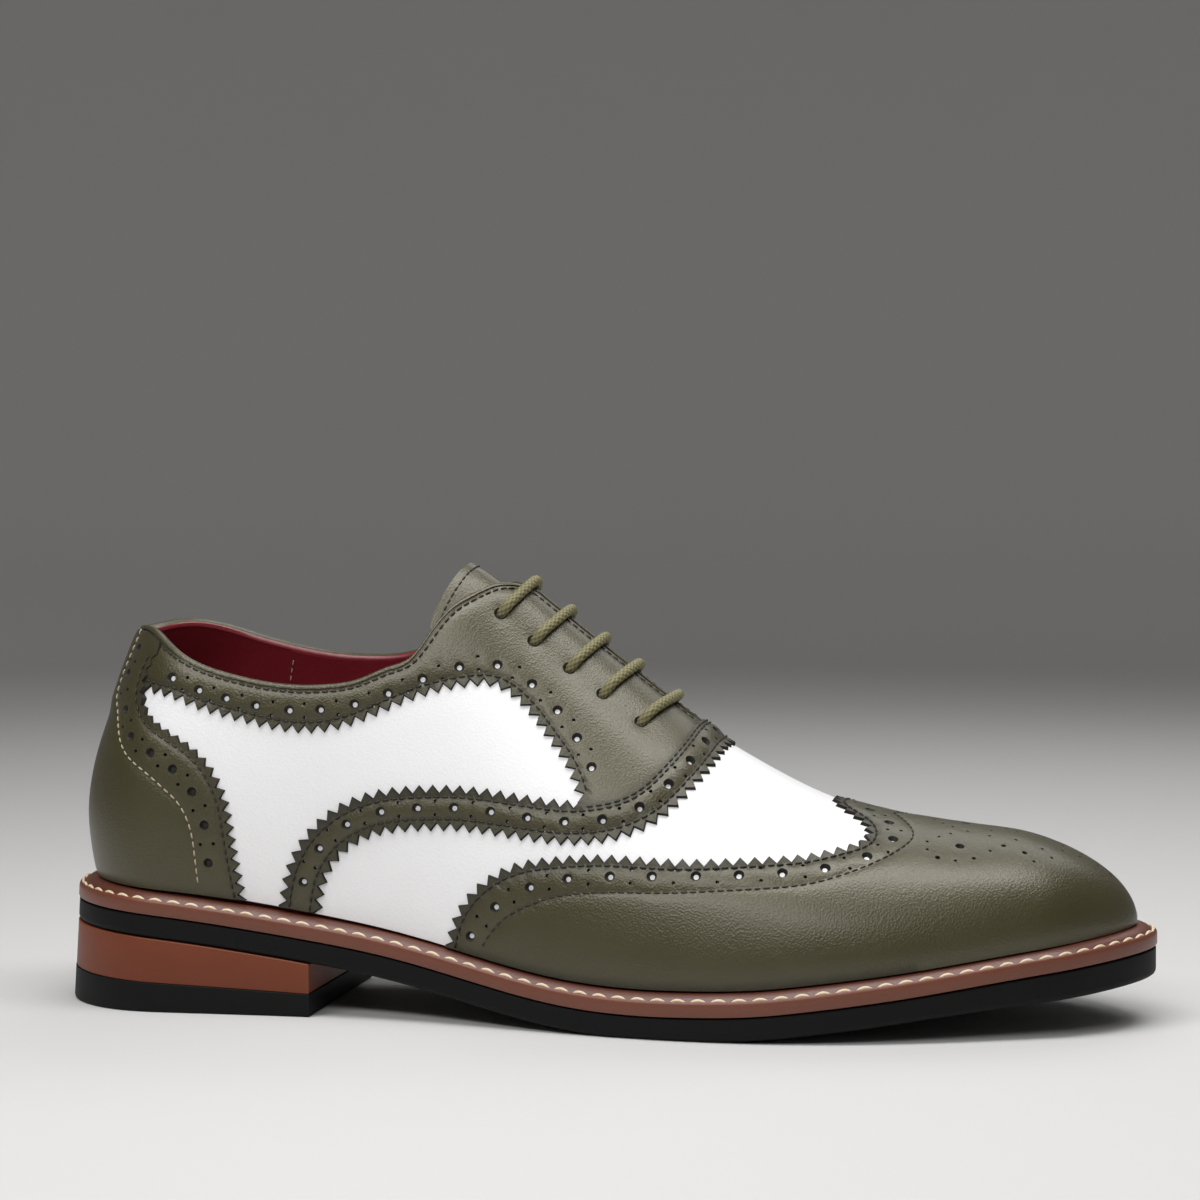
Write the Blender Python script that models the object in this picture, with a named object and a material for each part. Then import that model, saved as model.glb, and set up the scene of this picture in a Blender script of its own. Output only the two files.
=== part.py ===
"""Right shoe of a pair of men's two-tone full brogue lace-up shoes, built as a shoemaker puts it together.

+X runs from heel to toe, +Z is up, -Y is the outer (lateral) side. Lengths below are in millimetres.
"""

import math

import bmesh
import bpy
import numpy as np

for old in list(bpy.data.objects):
    bpy.data.objects.remove(old, do_unlink=True)

# Driving sizes
LENGTH = 305.0
BALL_WIDTH = 104.0
HEEL_WIDTH = 69.0
INSTEP = 78.6
SEAT_HEIGHT = 35.2
WELT_MARGIN = 4.4
WALL = 2.0
OVERLAY = 0.9
LACE = 3.0
GAP = 0.3
MM = 0.001

# The outsole's outline: half widths as shares of BALL_WIDTH, at shares of LENGTH
SOLE_OUTLINE = [
    # at, lateral, medial
    (0.000, 0.332, 0.332),
    (0.111, 0.332, 0.329),
    (0.197, 0.331, 0.321),
    (0.256, 0.334, 0.310),
    (0.344, 0.358, 0.294),
    (0.443, 0.418, 0.306),
    (0.531, 0.477, 0.358),
    (0.623, 0.510, 0.433),
    (0.702, 0.502, 0.479),
    (0.748, 0.479, 0.483),
    (0.787, 0.450, 0.469),
    (0.869, 0.366, 0.404),
    (0.934, 0.288, 0.325),
    (1.000, 0.212, 0.245),
]
# The feather line, where upper and welt meet: height as a share of SEAT_HEIGHT
FEATHER = [
    # at, height
    (0.000, 1.000),
    (0.098, 0.943),
    (0.164, 0.881),
    (0.252, 0.778),
    (0.328, 0.673),
    (0.384, 0.571),
    (0.436, 0.472),
    (0.485, 0.398),
    (0.531, 0.361),
    (0.577, 0.352),
    (0.623, 0.361),
    (0.666, 0.381),
    (0.702, 0.415),
    (0.784, 0.506),
    (0.866, 0.614),
    (0.951, 0.716),
    (1.000, 0.767),
]
# The ridge of the last, over the open collar too, where it is only a guide: height as a share of INSTEP
RIDGE = [
    # at, height
    (0.000, 1.756),
    (0.131, 1.743),
    (0.243, 1.724),
    (0.328, 1.686),
    (0.393, 1.590),
    (0.439, 1.461),
    (0.492, 1.300),
    (0.541, 1.153),
    (0.593, 1.000),
    (0.636, 0.896),
    (0.682, 0.801),
    (0.718, 0.740),
    (0.761, 0.692),
    (0.797, 0.668),
    (0.869, 0.637),
    (0.934, 0.611),
    (1.000, 0.598),
]
# The wall between them: rise and crown are the handles of its curve, lean its angle out, ridge_y the ridge's offset
WALL_FORM = [
    # at, rise, lean, crown, ridge_y
    (0.000, 0.385, 8.0, 0.144, 0.000),
    (0.111, 0.375, 8.0, 0.163, 0.000),
    (0.243, 0.365, 6.0, 0.231, 0.005),
    (0.344, 0.356, 5.0, 0.212, 0.005),
    (0.439, 0.346, 4.0, 0.163, 0.000),
    (0.525, 0.298, 4.0, 0.183, 0.000),
    (0.593, 0.250, 6.0, 0.221, 0.000),
    (0.682, 0.192, 8.0, 0.279, 0.002),
    (0.761, 0.154, 8.0, 0.288, -0.005),
    (0.869, 0.115, 6.0, 0.231, -0.010),
    (0.984, 0.087, 4.0, 0.135, 0.000),
]
# The back of the heel: how far the wall stands forward, by height as a share of SEAT_HEIGHT, in shares of HEEL_WIDTH
HEEL_CURVE = [
    # height, forward
    (0.57, 0.145),
    (0.97, 0.122),
    (1.11, 0.109),
    (1.31, 0.094),
    (1.53, 0.088),
    (1.73, 0.098),
    (2.02, 0.132),
    (2.27, 0.174),
    (2.59, 0.227),
    (2.90, 0.287),
    (3.41, 0.383),
    (3.98, 0.490),
]
# The topline: height up the wall, 0 at the feather and 1 at the ridge, of the lateral and the medial side
TOPLINE = [
    # at, lateral, medial
    (0.000, 0.675, 0.675),
    (0.022, 0.655, 0.668),
    (0.044, 0.620, 0.652),
    (0.087, 0.564, 0.618),
    (0.132, 0.536, 0.595),
    (0.183, 0.520, 0.578),
    (0.231, 0.520, 0.575),
    (0.259, 0.529, 0.581),
    (0.292, 0.553, 0.598),
    (0.323, 0.597, 0.630),
    (0.346, 0.645, 0.668),
    (0.359, 0.710, 0.720),
    (0.373, 0.778, 0.780),
    (0.393, 0.850, 0.850),
    (0.406, 0.899, 0.899),
    (0.418, 0.936, 0.936),
    (0.430, 0.968, 0.968),
    (0.439, 1.000, 1.000),
]
# Middle of the band that runs up from the sole and round the throat, by length and height up the wall
SIDE_BAND = [
    # at, up
    (0.236, 0.006),
    (0.243, 0.079),
    (0.260, 0.158),
    (0.287, 0.223),
    (0.321, 0.268),
    (0.356, 0.298),
    (0.392, 0.328),
    (0.427, 0.355),
    (0.463, 0.381),
    (0.498, 0.410),
    (0.532, 0.457),
    (0.561, 0.535),
    (0.580, 0.637),
    (0.592, 0.734),
    (0.600, 0.837),
    (0.606, 1.000),
]
# Back edge of the winged toe cap, by height up the wall: a point on the ridge, a notch on each side, then the wing
WING_EDGE = [
    # up, at
    (0.006, 0.386),
    (0.090, 0.396),
    (0.150, 0.410),
    (0.210, 0.431),
    (0.265, 0.460),
    (0.310, 0.497),
    (0.345, 0.535),
    (0.380, 0.590),
    (0.420, 0.640),
    (0.470, 0.691),
    (0.530, 0.723),
    (0.590, 0.744),
    (0.660, 0.752),
    (0.735, 0.750),
    (0.805, 0.740),
    (0.870, 0.724),
    (0.930, 0.714),
    (1.000, 0.709),
]
# Lower edge of the collar band and the facing
FACING_EDGE = [
    # at, up
    (0.055, 0.493),
    (0.080, 0.480),
    (0.105, 0.462),
    (0.142, 0.444),
    (0.181, 0.430),
    (0.229, 0.424),
    (0.270, 0.442),
    (0.307, 0.485),
    (0.352, 0.558),
    (0.396, 0.630),
    (0.429, 0.668),
    (0.453, 0.648),
    (0.473, 0.605),
    (0.490, 0.560),
    (0.499, 0.515),
    (0.503, 0.488),
]
# Front edge of the heel counter with the strap that climbs to the topline
COUNTER_EDGE = [
    # up, at
    (0.006, 0.175),
    (0.090, 0.172),
    (0.160, 0.169),
    (0.230, 0.163),
    (0.280, 0.152),
    (0.325, 0.135),
    (0.362, 0.110),
    (0.395, 0.080),
    (0.430, 0.058),
    (0.480, 0.046),
    (0.540, 0.043),
    (0.612, 0.048),
    (0.690, 0.054),
]
# Lace holes on each facing, and where the bar between them crosses the ridge
EYELETS = [
    # at, up, ridge_at
    (0.417, 0.842, 0.4345),
    (0.448, 0.832, 0.4675),
    (0.481, 0.822, 0.4995),
    (0.512, 0.808, 0.5305),
    (0.547, 0.790, 0.5665),
]


def spline(xs, ys):
    """A natural cubic spline through the points, as a function."""
    xs, ys = np.asarray(xs, float), np.asarray(ys, float)
    n, h = len(xs), np.diff(xs)
    a, r = np.eye(n), np.zeros(n)
    for i in range(1, n - 1):
        a[i, i - 1:i + 2] = h[i - 1], 2 * (h[i - 1] + h[i]), h[i]
        r[i] = 6 * ((ys[i + 1] - ys[i]) / h[i] - (ys[i] - ys[i - 1]) / h[i - 1])
    m = np.linalg.solve(a, r)

    def value(x):
        x = np.clip(np.asarray(x, float), xs[0], xs[-1])
        k = np.clip(np.searchsorted(xs, x, side="right") - 1, 0, n - 2)
        t, hk = x - xs[k], h[k]
        b = (ys[k + 1] - ys[k]) / hk - hk * (2 * m[k] + m[k + 1]) / 6
        return ys[k] + t * (b + t * (m[k] / 2 + t * (m[k + 1] - m[k]) / (6 * hk)))

    return value


def columns(rows, key, *scales):
    """One spline for each column after the first, in millimetres."""
    rows = np.array(rows, float)
    return [spline(rows[:, 0] * key, rows[:, c + 1] * scale) for c, scale in enumerate(scales)]


sole_lateral, sole_medial = columns(SOLE_OUTLINE, LENGTH, BALL_WIDTH, BALL_WIDTH)
(feather_z,) = columns(FEATHER, LENGTH, SEAT_HEIGHT)
(ridge_z,) = columns(RIDGE, LENGTH, INSTEP)
wall_rise, wall_lean, wall_crown, ridge_y = columns(WALL_FORM, LENGTH, BALL_WIDTH, 1.0, BALL_WIDTH, BALL_WIDTH)
(heel_forward,) = columns(HEEL_CURVE, SEAT_HEIGHT, HEEL_WIDTH)
top_lateral, top_medial = columns(TOPLINE, LENGTH, 1.0, 1.0)
(wing_at,) = columns(WING_EDGE, 1.0, LENGTH)
(counter_at,) = columns(COUNTER_EDGE, 1.0, LENGTH)

TOE_X = LENGTH * 0.979
HEEL_ROUND, TOE_ROUND, NOSE_ROUND = 0.42 * HEEL_WIDTH, 0.24 * BALL_WIDTH, 0.327 * BALL_WIDTH
CAP_ROUND = 0.94 * NOSE_ROUND
COLLAR_RISE, COLLAR_END, THROAT_X = 0.328 * LENGTH, 0.439 * LENGTH, 0.594 * LENGTH
SLIT = 1.2
SOLE_HEEL_ROUND, SOLE_TOE_ROUND = 0.493 * HEEL_WIDTH, 0.26 * BALL_WIDTH


def end(distance, radius):
    """0 at an end of the shoe, and 1 once past its rounding."""
    d = np.clip(distance / radius, 0, 1)
    return np.sqrt(np.maximum(1 - (1 - d) ** 2, 0))


def smooth(t):
    t = np.clip(t, 0, 1)
    return t * t * (3 - 2 * t)


def wall(x, side, count):
    """Points of one wall at station x, from the feather to the ridge, evenly spaced along it."""
    along = end(x, HEEL_ROUND) * end(TOE_X - x, TOE_ROUND)
    half = (sole_lateral(x) if side < 0 else sole_medial(x)) - WELT_MARGIN
    low = feather_z(x + 0.0177 * LENGTH * (1 - smooth(x / (0.2 * LENGTH))))
    high = (ridge_z(x) - low) * end(TOE_X - x, NOSE_ROUND)
    lean, rise, crown, across = math.radians(wall_lean(x)), wall_rise(x), wall_crown(x), side * ridge_y(x)
    share = end(TOE_X - x, NOSE_ROUND)
    t = np.linspace(0, 1, 4 * count)[:, None]
    corners = np.array([
        (half, 0),
        (half + rise * math.sin(lean), rise * math.cos(lean) * share),
        (crown + across, high),
        (across, high),
    ])
    curve = np.hstack([(1 - t) ** 3, 3 * (1 - t) ** 2 * t, 3 * (1 - t) * t * t, t ** 3]) @ corners
    y, z = side * curve[:, 0] * along, low + curve[:, 1]
    run = np.concatenate([[0], np.cumsum(np.hypot(np.diff(y), np.diff(z)))])
    even = np.linspace(0, run[-1], count)
    y, z = np.interp(even, run, y), np.interp(even, run, z)
    return np.stack([x + heel_forward(z) * (1 - smooth(x / (0.36 * LENGTH))), y, z], axis=1)


# The last's surface on a grid: stations along it, and q across it, -1 lateral feather, 0 ridge, 1 medial feather
STATIONS = np.concatenate([
    HEEL_ROUND * (1 - np.cos(np.linspace(0, math.pi / 2, 25))),
    np.linspace(HEEL_ROUND, TOE_X - NOSE_ROUND, 118)[1:],
    TOE_X - NOSE_ROUND * (1 - np.sin(np.linspace(0, math.pi / 2, 29)[1:])),
])
WALL_COUNT = 96
GRID = np.array([np.concatenate([wall(x, -1, WALL_COUNT + 1), wall(x, 1, WALL_COUNT + 1)[-2::-1]]) for x in STATIONS])


def grid_normals():
    """Unit normals out of the surface, the two sides agreeing on the heel's middle line."""
    along = np.gradient(GRID, axis=0)
    along[0] = GRID[1] - GRID[1][::-1]
    across = np.gradient(GRID, axis=1)
    across[-1] = across[-2]
    found = np.cross(along, across)
    lateral = np.arange(2 * WALL_COUNT + 1) <= WALL_COUNT
    found[0, ~lateral] = found[0, ::-1][~lateral] * (1, -1, 1)
    found[0, :, 1] = 0
    found /= np.linalg.norm(found, axis=2, keepdims=True) + 1e-15
    if found[60, WALL_COUNT, 2] < 0:
        found = -found
    found[0] *= np.where(found[0, :, :1] > 0, -1, 1)
    found[-1] = found[-2].mean(axis=0) / np.linalg.norm(found[-2].mean(axis=0))
    return found


NORMALS = grid_normals()


def sample(values, x, q):
    x, q = np.broadcast_arrays(np.asarray(x, float), np.asarray(q, float))
    i = np.clip(np.searchsorted(STATIONS, x, side="right") - 1, 0, len(STATIONS) - 2)
    a = np.clip((x - STATIONS[i]) / (STATIONS[i + 1] - STATIONS[i]), 0, 1)[..., None]
    g = (q + 1) * WALL_COUNT
    j = np.clip(g.astype(int), 0, 2 * WALL_COUNT - 1)
    b = np.clip(g - j, 0, 1)[..., None]
    return (1 - a) * ((1 - b) * values[i, j] + b * values[i, j + 1]) + a * (
        (1 - b) * values[i + 1, j] + b * values[i + 1, j + 1])


def skin(x, q, lift):
    """Points lifted off the last's surface."""
    normal = sample(NORMALS, x, q)
    normal /= np.linalg.norm(normal, axis=-1, keepdims=True)
    return sample(GRID, x, q) + lift * normal


def q_of(up, side):
    return side * (1 - np.asarray(up, float))


def arc(x, side):
    """Length of the wall at station x, feather to ridge."""
    path = sample(GRID, x, q_of(np.linspace(0, 1, 60), side))
    return np.linalg.norm(np.diff(path, axis=0), axis=1).sum()


def top_of(x, side):
    """Height up the wall of the upper's edge: the topline, then the slit between the facings, then the ridge."""
    if x >= THROAT_X:
        return 1.0
    slit = 1 - 0.5 * SLIT / arc(x, side)
    return min(float((top_lateral if side < 0 else top_medial)(x)), slit) if x < COLLAR_END else slit


def resample(points, count, ends=True):
    """The polyline at even steps of its length."""
    points = np.asarray(points, float)
    real = sample(GRID, points[:, 0], points[:, 1])
    run = np.concatenate([[0], np.cumsum(np.linalg.norm(np.diff(real, axis=0), axis=1))])
    even = np.linspace(0, run[-1], count)
    return np.stack([np.interp(even, run, points[:, k]) for k in (0, 1)], axis=1)


def through(rows, side, fine=12):
    """A smooth curve through rows of (at, up), as points (x, q)."""
    rows = np.array(rows, float)
    t = np.concatenate([[0], np.cumsum(np.hypot(np.diff(rows[:, 0]) * LENGTH, np.diff(rows[:, 1]) * 100))])
    x, up = spline(t, rows[:, 0] * LENGTH), spline(t, rows[:, 1])
    s = np.linspace(0, t[-1], fine * len(rows))
    return np.stack([x(s), q_of(np.clip(up(s), 0, 1), side)], axis=1)


def shifted(points, amount):
    """Points (x, q) moved along the surface, square to their own path; plus is to its left seen from outside."""
    x, q = points[:, 0], points[:, 1]
    dx, dq = 0.2, 0.002
    by_x = (sample(GRID, x + dx, q) - sample(GRID, x - dx, q)) / (2 * dx)
    by_q = (sample(GRID, x, np.clip(q + dq, -1, 1)) - sample(GRID, x, np.clip(q - dq, -1, 1)))
    by_q /= (np.clip(q + dq, -1, 1) - np.clip(q - dq, -1, 1))[:, None]
    path = np.gradient(sample(GRID, x, q), axis=0)
    path /= np.linalg.norm(path, axis=1, keepdims=True)
    square = np.cross(sample(NORMALS, x, q), path) * amount
    moved = []
    for k in range(len(points)):
        basis = np.stack([by_x[k], by_q[k]], axis=1)
        moved.append(np.linalg.lstsq(basis, square[k], rcond=None)[0])
    return points + np.array(moved)


# Solids

def new_object(name, points, faces):
    mesh = bpy.data.meshes.new(name)
    bm = bmesh.new()
    verts = [bm.verts.new(p * MM) for p in points]
    for face in faces:
        if len(set(face)) > 2:
            bm.faces.new([verts[i] for i in face])
    bmesh.ops.triangulate(bm, faces=bm.faces[:])
    bmesh.ops.recalc_face_normals(bm, faces=bm.faces[:])
    bm.to_mesh(mesh)
    bm.free()
    made = bpy.data.objects.new(name, mesh)
    bpy.context.scene.collection.objects.link(made)
    return made


def merged(points, faces, within=1e-3):
    """Points that fall together made one, in each of the point lists alike."""
    keys, index, order = {}, [], []
    for k, point in enumerate(points[0]):
        key = tuple(np.round(point / within).astype(int))
        if key not in keys:
            keys[key] = len(order)
            order.append(k)
        index.append(keys[key])
    found = []
    for face in faces:
        face = [index[i] for i in face]
        face = [v for n, v in enumerate(face) if v != face[n - 1]]
        if len(face) > 2:
            found.append(face)
    return [np.asarray(p)[order] for p in points], found


def shell(name, outer, inner, faces):
    """A closed solid between two matching skins, with a rim along every open edge."""
    (outer, inner), faces = merged([outer, inner], faces)
    count = len(outer)
    edges = {}
    for face in faces:
        for n, v in enumerate(face):
            edges[(face[n - 1], v)] = True
    rim = [(a, b) for a, b in edges if (b, a) not in edges]
    whole = [list(f) for f in faces] + [[v + count for v in reversed(f)] for f in faces]
    whole += [[b, a, a + count, b + count] for a, b in rim]
    return new_object(name, np.concatenate([outer, inner]), whole)


def patch(name, grids, low, high):
    """A solid over grids of (x, q), from one lift to another. A grid is an array of shape (n, m, 2)."""
    outer, inner, faces = [], [], []
    for grid in grids:
        start = sum(len(part) for part in outer)
        n, m = grid.shape[:2]
        outer.append(skin(grid[..., 0], grid[..., 1], high).reshape(-1, 3))
        inner.append(skin(grid[..., 0], grid[..., 1], low).reshape(-1, 3))
        for i in range(n - 1):
            for j in range(m - 1):
                a = start + i * m + j
                faces.append([a, a + 1, a + m + 1, a + m])
    return shell(name, np.concatenate(outer), np.concatenate(inner), faces)


def between(one, other, count, power=1.0):
    """A grid of points from one edge to the other, closer together near the other with a power under 1."""
    t = np.linspace(0, 1, count)[None, :, None] ** power
    return one[:, None] * (1 - t) + other[:, None] * t


FOOT = 0.009
UPPER_HIGH = 0.5
UPPER_LOW = UPPER_HIGH + WALL

# Upper: vamp and quarters, one hollow shell, open at the collar, at the slit of the lacing and underneath
ROWS = 13
upper_stations = np.concatenate([
    HEEL_ROUND * (1 - np.cos(np.linspace(0, math.pi / 2, 8)))[:-1],
    np.linspace(HEEL_ROUND, COLLAR_RISE, 8)[:-1],
    np.linspace(COLLAR_RISE, COLLAR_END, 12)[:-1],
    np.linspace(COLLAR_END, THROAT_X, 6)[:-1],
    np.linspace(THROAT_X, TOE_X - CAP_ROUND, 10)[:-1],
    TOE_X - CAP_ROUND * (1 - np.sin(np.linspace(0, math.pi / 2, 9))),
])
upper_grids = []
for side in (-1, 1):
    rows = []
    for x in upper_stations:
        share = np.linspace(0, 1, ROWS)
        up = FOOT + (top_of(x, side) - FOOT) * (share + 0.11 * np.sin(math.pi * share))
        rows.append(np.stack([np.full(ROWS, x), q_of(up, side)], axis=1))
    rows = np.array(rows)
    upper_grids.append(rows if side < 0 else rows[:, ::-1])
patch("upper", upper_grids, -UPPER_LOW, -UPPER_HIGH)

# Overlays: each lies on the upper, clear of it by a little more than the gap
LOW, HIGH = 0.2, 0.2 + OVERLAY
BAND_HALF = 5.1

half_band = through(SIDE_BAND, -1)
whole_band = np.concatenate([half_band, (half_band * (1, -1))[-2::-1]])
whole_band = resample(whole_band, 61)
band_edges = [shifted(whole_band, s * BAND_HALF) for s in (-1, 1)]
for edge in band_edges:
    edge[0, 1], edge[-1, 1] = -1 + FOOT, 1 - FOOT
    edge[:, 1] = np.clip(edge[:, 1], -1 + FOOT, 1 - FOOT)
patch("side_band", [between(band_edges[0], band_edges[1], 4)], LOW, HIGH)
band_back = shifted(whole_band, BAND_HALF + 0.8)

wing_up = np.array([FOOT, 0.09, 0.17, 0.25, 0.32, 0.38, 0.44, 0.50, 0.56, 0.62, 0.69, 0.76, 0.83, 0.915, 1.0])
wing_q = np.concatenate([wing_up - 1, (1 - wing_up)[-2::-1]])
wing_rows = []
for q in wing_q:
    start = float(wing_at(1 - abs(q)))
    steps = np.linspace(0, 1, 9) ** 0.85
    flat = start + (TOE_X - CAP_ROUND - start) * steps
    nose = TOE_X - CAP_ROUND * (1 - np.sin(np.linspace(0, math.pi / 2, 8)[1:]))
    wing_rows.append(np.stack([np.concatenate([flat, nose]), np.full(16, q)], axis=1))
patch("toe_cap", [np.array(wing_rows)], LOW, HIGH)

for side, name in ((-1, "facing_lateral"), (1, "facing_medial")):
    lower = through(FACING_EDGE, side)
    # The facing ends on the back edge of the side band
    tail = band_back[:31] if side < 0 else band_back[30:][::-1]
    tail = tail[(tail[:, 0] >= 0.515 * LENGTH) & (np.abs(tail[:, 1]) < 1 - 0.47)]
    start, slit_start = LENGTH * 0.0545, COLLAR_END - 0.002 * LENGTH
    top_x = np.concatenate([np.linspace(start, COLLAR_RISE, 14)[:-1], np.linspace(COLLAR_RISE, slit_start, 12)])
    top = [(x, q_of(top_of(x, side), side)) for x in top_x]
    slit_end = tail[-1, 0] - 1.0
    slit = [(x, q_of(top_of(x, side), side)) for x in np.linspace(slit_start, slit_end, 9)[1:]]
    upper_edge = resample(np.array(top + slit), 32)
    low_edge = resample(np.concatenate([lower, tail[:-1]]), 32)
    low_edge[-1] = (slit_end + 0.3, q_of(top_of(slit_end, side) - 0.02, side))
    grid = between(low_edge, upper_edge, 8, 0.8)
    patch(name, [grid if side < 0 else grid[::-1]], LOW, HIGH)

counter_up = np.concatenate([[FOOT], np.linspace(0.07, 0.675, 12)])
counter_grids = []
for side in (-1, 1):
    rows = []
    for up in counter_up:
        reach = float(counter_at(up)) - 0.4
        xs = reach * (1 - np.cos(np.linspace(0, math.pi / 2, 8)))
        top = (top_lateral if side < 0 else top_medial)(xs)
        level = up * top / 0.675
        ups = up + (level - up) * smooth((up - 0.40) / 0.2)
        rows.append(np.stack([xs, q_of(ups, side)], axis=1))
    rows = np.array(rows)
    counter_grids.append(rows if side > 0 else rows[::-1])
patch("heel_counter", counter_grids, LOW, HIGH)

# Tongue: a curved strip under the facings, standing above them at the top
tongue_q = np.linspace(-0.19, 0.19, 11)
tongue_rows = []
for q in tongue_q:
    across = abs(q) / 0.19
    tip = 0.388 * LENGTH - 8.0 * across ** 2 + 5.0 * across ** 6
    tongue_rows.append(np.stack([np.linspace(tip, 0.612 * LENGTH - 4 * across ** 2, 12), np.full(12, q)], axis=1))
patch("tongue", [np.array(tongue_rows)], -4.9, -3.3)


# Sole and heel: plates between two heights, on the outsole's outline drawn in or let out

def outline(inset):
    """Lateral and medial points, heel to toe, of the outsole's outline drawn in by an inset."""
    xs = np.concatenate([
        SOLE_HEEL_ROUND * (1 - np.cos(np.linspace(0, math.pi / 2, 7)))[:-1],
        np.linspace(SOLE_HEEL_ROUND, LENGTH - SOLE_TOE_ROUND, 12),
        LENGTH - SOLE_TOE_ROUND * (1 - np.sin(np.linspace(0, math.pi / 2, 10)[1:])),
    ])
    ends = end(xs, SOLE_HEEL_ROUND) * end(LENGTH - xs, SOLE_TOE_ROUND)
    lateral = np.stack([xs, -sole_lateral(xs) * ends], axis=1)
    medial = np.stack([xs, sole_medial(xs) * ends], axis=1)
    loop = np.concatenate([lateral, medial[-2:0:-1]])
    ahead, behind = np.roll(loop, -1, axis=0), np.roll(loop, 1, axis=0)
    path = (ahead - behind) / np.linalg.norm(ahead - behind, axis=1, keepdims=True)
    loop = loop + inset * np.stack([-path[:, 1], path[:, 0]], axis=1)
    n = len(xs)
    return loop[:n], np.concatenate([loop[:1], loop[n:][::-1], loop[n - 1:n]])


def rake(x, z):
    """The back of the heel leans forward as it rises."""
    return 0.06 * z * (1 - smooth(x / (0.262 * LENGTH)))


def stack(name, layers):
    """A solid through layers of (outline, height). Each layer is a ring; the first and last are capped."""
    points, rings = [], []
    for (lateral, medial), height in layers:
        ring = np.concatenate([lateral, medial[::-1]])
        z = np.array([height(x) for x in ring[:, 0]])
        ring = np.stack([ring[:, 0] + rake(ring[:, 0], z), ring[:, 1], z], axis=1)
        rings.append(np.arange(len(points) * len(ring), (len(points) + 1) * len(ring)))
        points.append(ring)
    m, n = len(points[0]), len(layers[0][0][0])
    faces = []
    for low, high in zip(rings[:-1], rings[1:]):
        faces += [[low[k], low[(k + 1) % m], high[(k + 1) % m], high[k]] for k in range(m)]
    for ring, flip in ((rings[0], True), (rings[-1], False)):
        for k in range(n - 1):
            quad = [ring[k], ring[k + 1], ring[m - 2 - k], ring[m - 1 - k]]
            faces.append(quad[::-1] if flip else quad)
    (points,), faces = merged([np.concatenate(points)], faces)
    return new_object(name, points, faces)


def ring_solid(name, profile):
    """A closed strip round the shoe, from a profile of (inset, height) corners in order."""
    loops = []
    for inset, height in profile:
        lateral, medial = outline(inset)
        loop = np.concatenate([lateral, medial[-2:0:-1]])
        z = np.array([height(x) for x in loop[:, 0]])
        loops.append(np.stack([loop[:, 0] + rake(loop[:, 0], z), loop[:, 1], z], axis=1))
    m, count = len(loops[0]), len(loops)
    faces = []
    for p in range(count):
        for k in range(m):
            a, b = p * m + k, p * m + (k + 1) % m
            c, d = ((p + 1) % count) * m + (k + 1) % m, ((p + 1) % count) * m + k
            faces.append([a, b, c, d])
    return new_object(name, np.concatenate(loops), faces)


WELT_SIDE = 4.7
WELT_FALL = 1.5
SOLE_THICK = 6.0
TOE_EXTRA = 1.5
BREAST_X = 0.257 * LENGTH


def below(depth, floor=None):
    def height(x):
        z = float(feather_z(x)) - depth
        return z if floor is None else max(z, floor)
    return height


welt_low = WELT_FALL + WELT_SIDE
ring_solid("welt", [
    (WELT_MARGIN + 5.0, below(GAP)),
    (WELT_MARGIN - 1.2, below(GAP)),
    (1.0, below(WELT_FALL - 0.4)),
    (0.0, below(WELT_FALL + 0.6)),
    (0.0, below(welt_low)),
    (WELT_MARGIN + 5.0, below(welt_low)),
])

sole_top = welt_low + 0.45
def sole_bottom(x):
    """Flat under the ball, and thicker toward the toe."""
    toe = smooth((x / LENGTH - 0.787) / 0.164)
    return max(float(feather_z(x)) - sole_top - SOLE_THICK - TOE_EXTRA * toe, 0.0)


stack("outsole", [
    (outline(1.3), sole_bottom),
    (outline(0.3), lambda x: sole_bottom(x) + 1.0),
    (outline(0.3), below(sole_top)),
])


def inner_outline(clear):
    """The line of the upper's inner wall at the feather, drawn in by a clearance, less the heel's rake."""
    xs = np.concatenate([
        HEEL_ROUND * (1 - np.cos(np.linspace(0, math.pi / 2, 7)))[:-1],
        np.linspace(HEEL_ROUND, TOE_X - CAP_ROUND, 12),
        TOE_X - CAP_ROUND * (1 - np.sin(np.linspace(0, math.pi / 2, 10)[1:])),
    ])
    sides = []
    for side in (-1, 1):
        points = skin(xs, q_of(np.full(27, 0.03), side), -UPPER_LOW - clear)
        points[:, 0] -= rake(points[:, 0], points[:, 2])
        points[0, 1] = points[-1, 1] = 0.0
        sides.append(points[:, :2])
    return sides


stack("insole", [
    (outline(WELT_MARGIN + 5.5), below(welt_low - 0.2)),
    (outline(WELT_MARGIN + 5.5), below(-0.2)),
    (inner_outline(1.2), below(-0.35)),
    (inner_outline(1.2), below(-2.6)),
])

# Heel: a tan block under the seat and a black top lift, both ending at the breast
heel_low = sole_top + SOLE_THICK + 0.4
LIFT_BACK, LIFT_BREAST = 9.4, 6.2


def lift_top(x):
    return LIFT_BACK + (LIFT_BREAST - LIFT_BACK) * x / BREAST_X


def heel_outline(inset):
    xs = np.concatenate([
        SOLE_HEEL_ROUND * (1 - np.cos(np.linspace(0, math.pi / 2, 9)))[:-1],
        np.linspace(SOLE_HEEL_ROUND, BREAST_X, 6),
    ])
    ends = end(xs, SOLE_HEEL_ROUND)
    lateral = np.stack([xs, -sole_lateral(xs) * ends], axis=1)
    medial = np.stack([xs, sole_medial(xs) * ends], axis=1)
    middle = np.array([[SOLE_HEEL_ROUND, 0.0]])
    shrink = 1 - inset / SOLE_HEEL_ROUND
    lateral, medial = middle + (lateral - middle) * shrink, middle + (medial - middle) * shrink
    return lateral, medial


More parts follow.
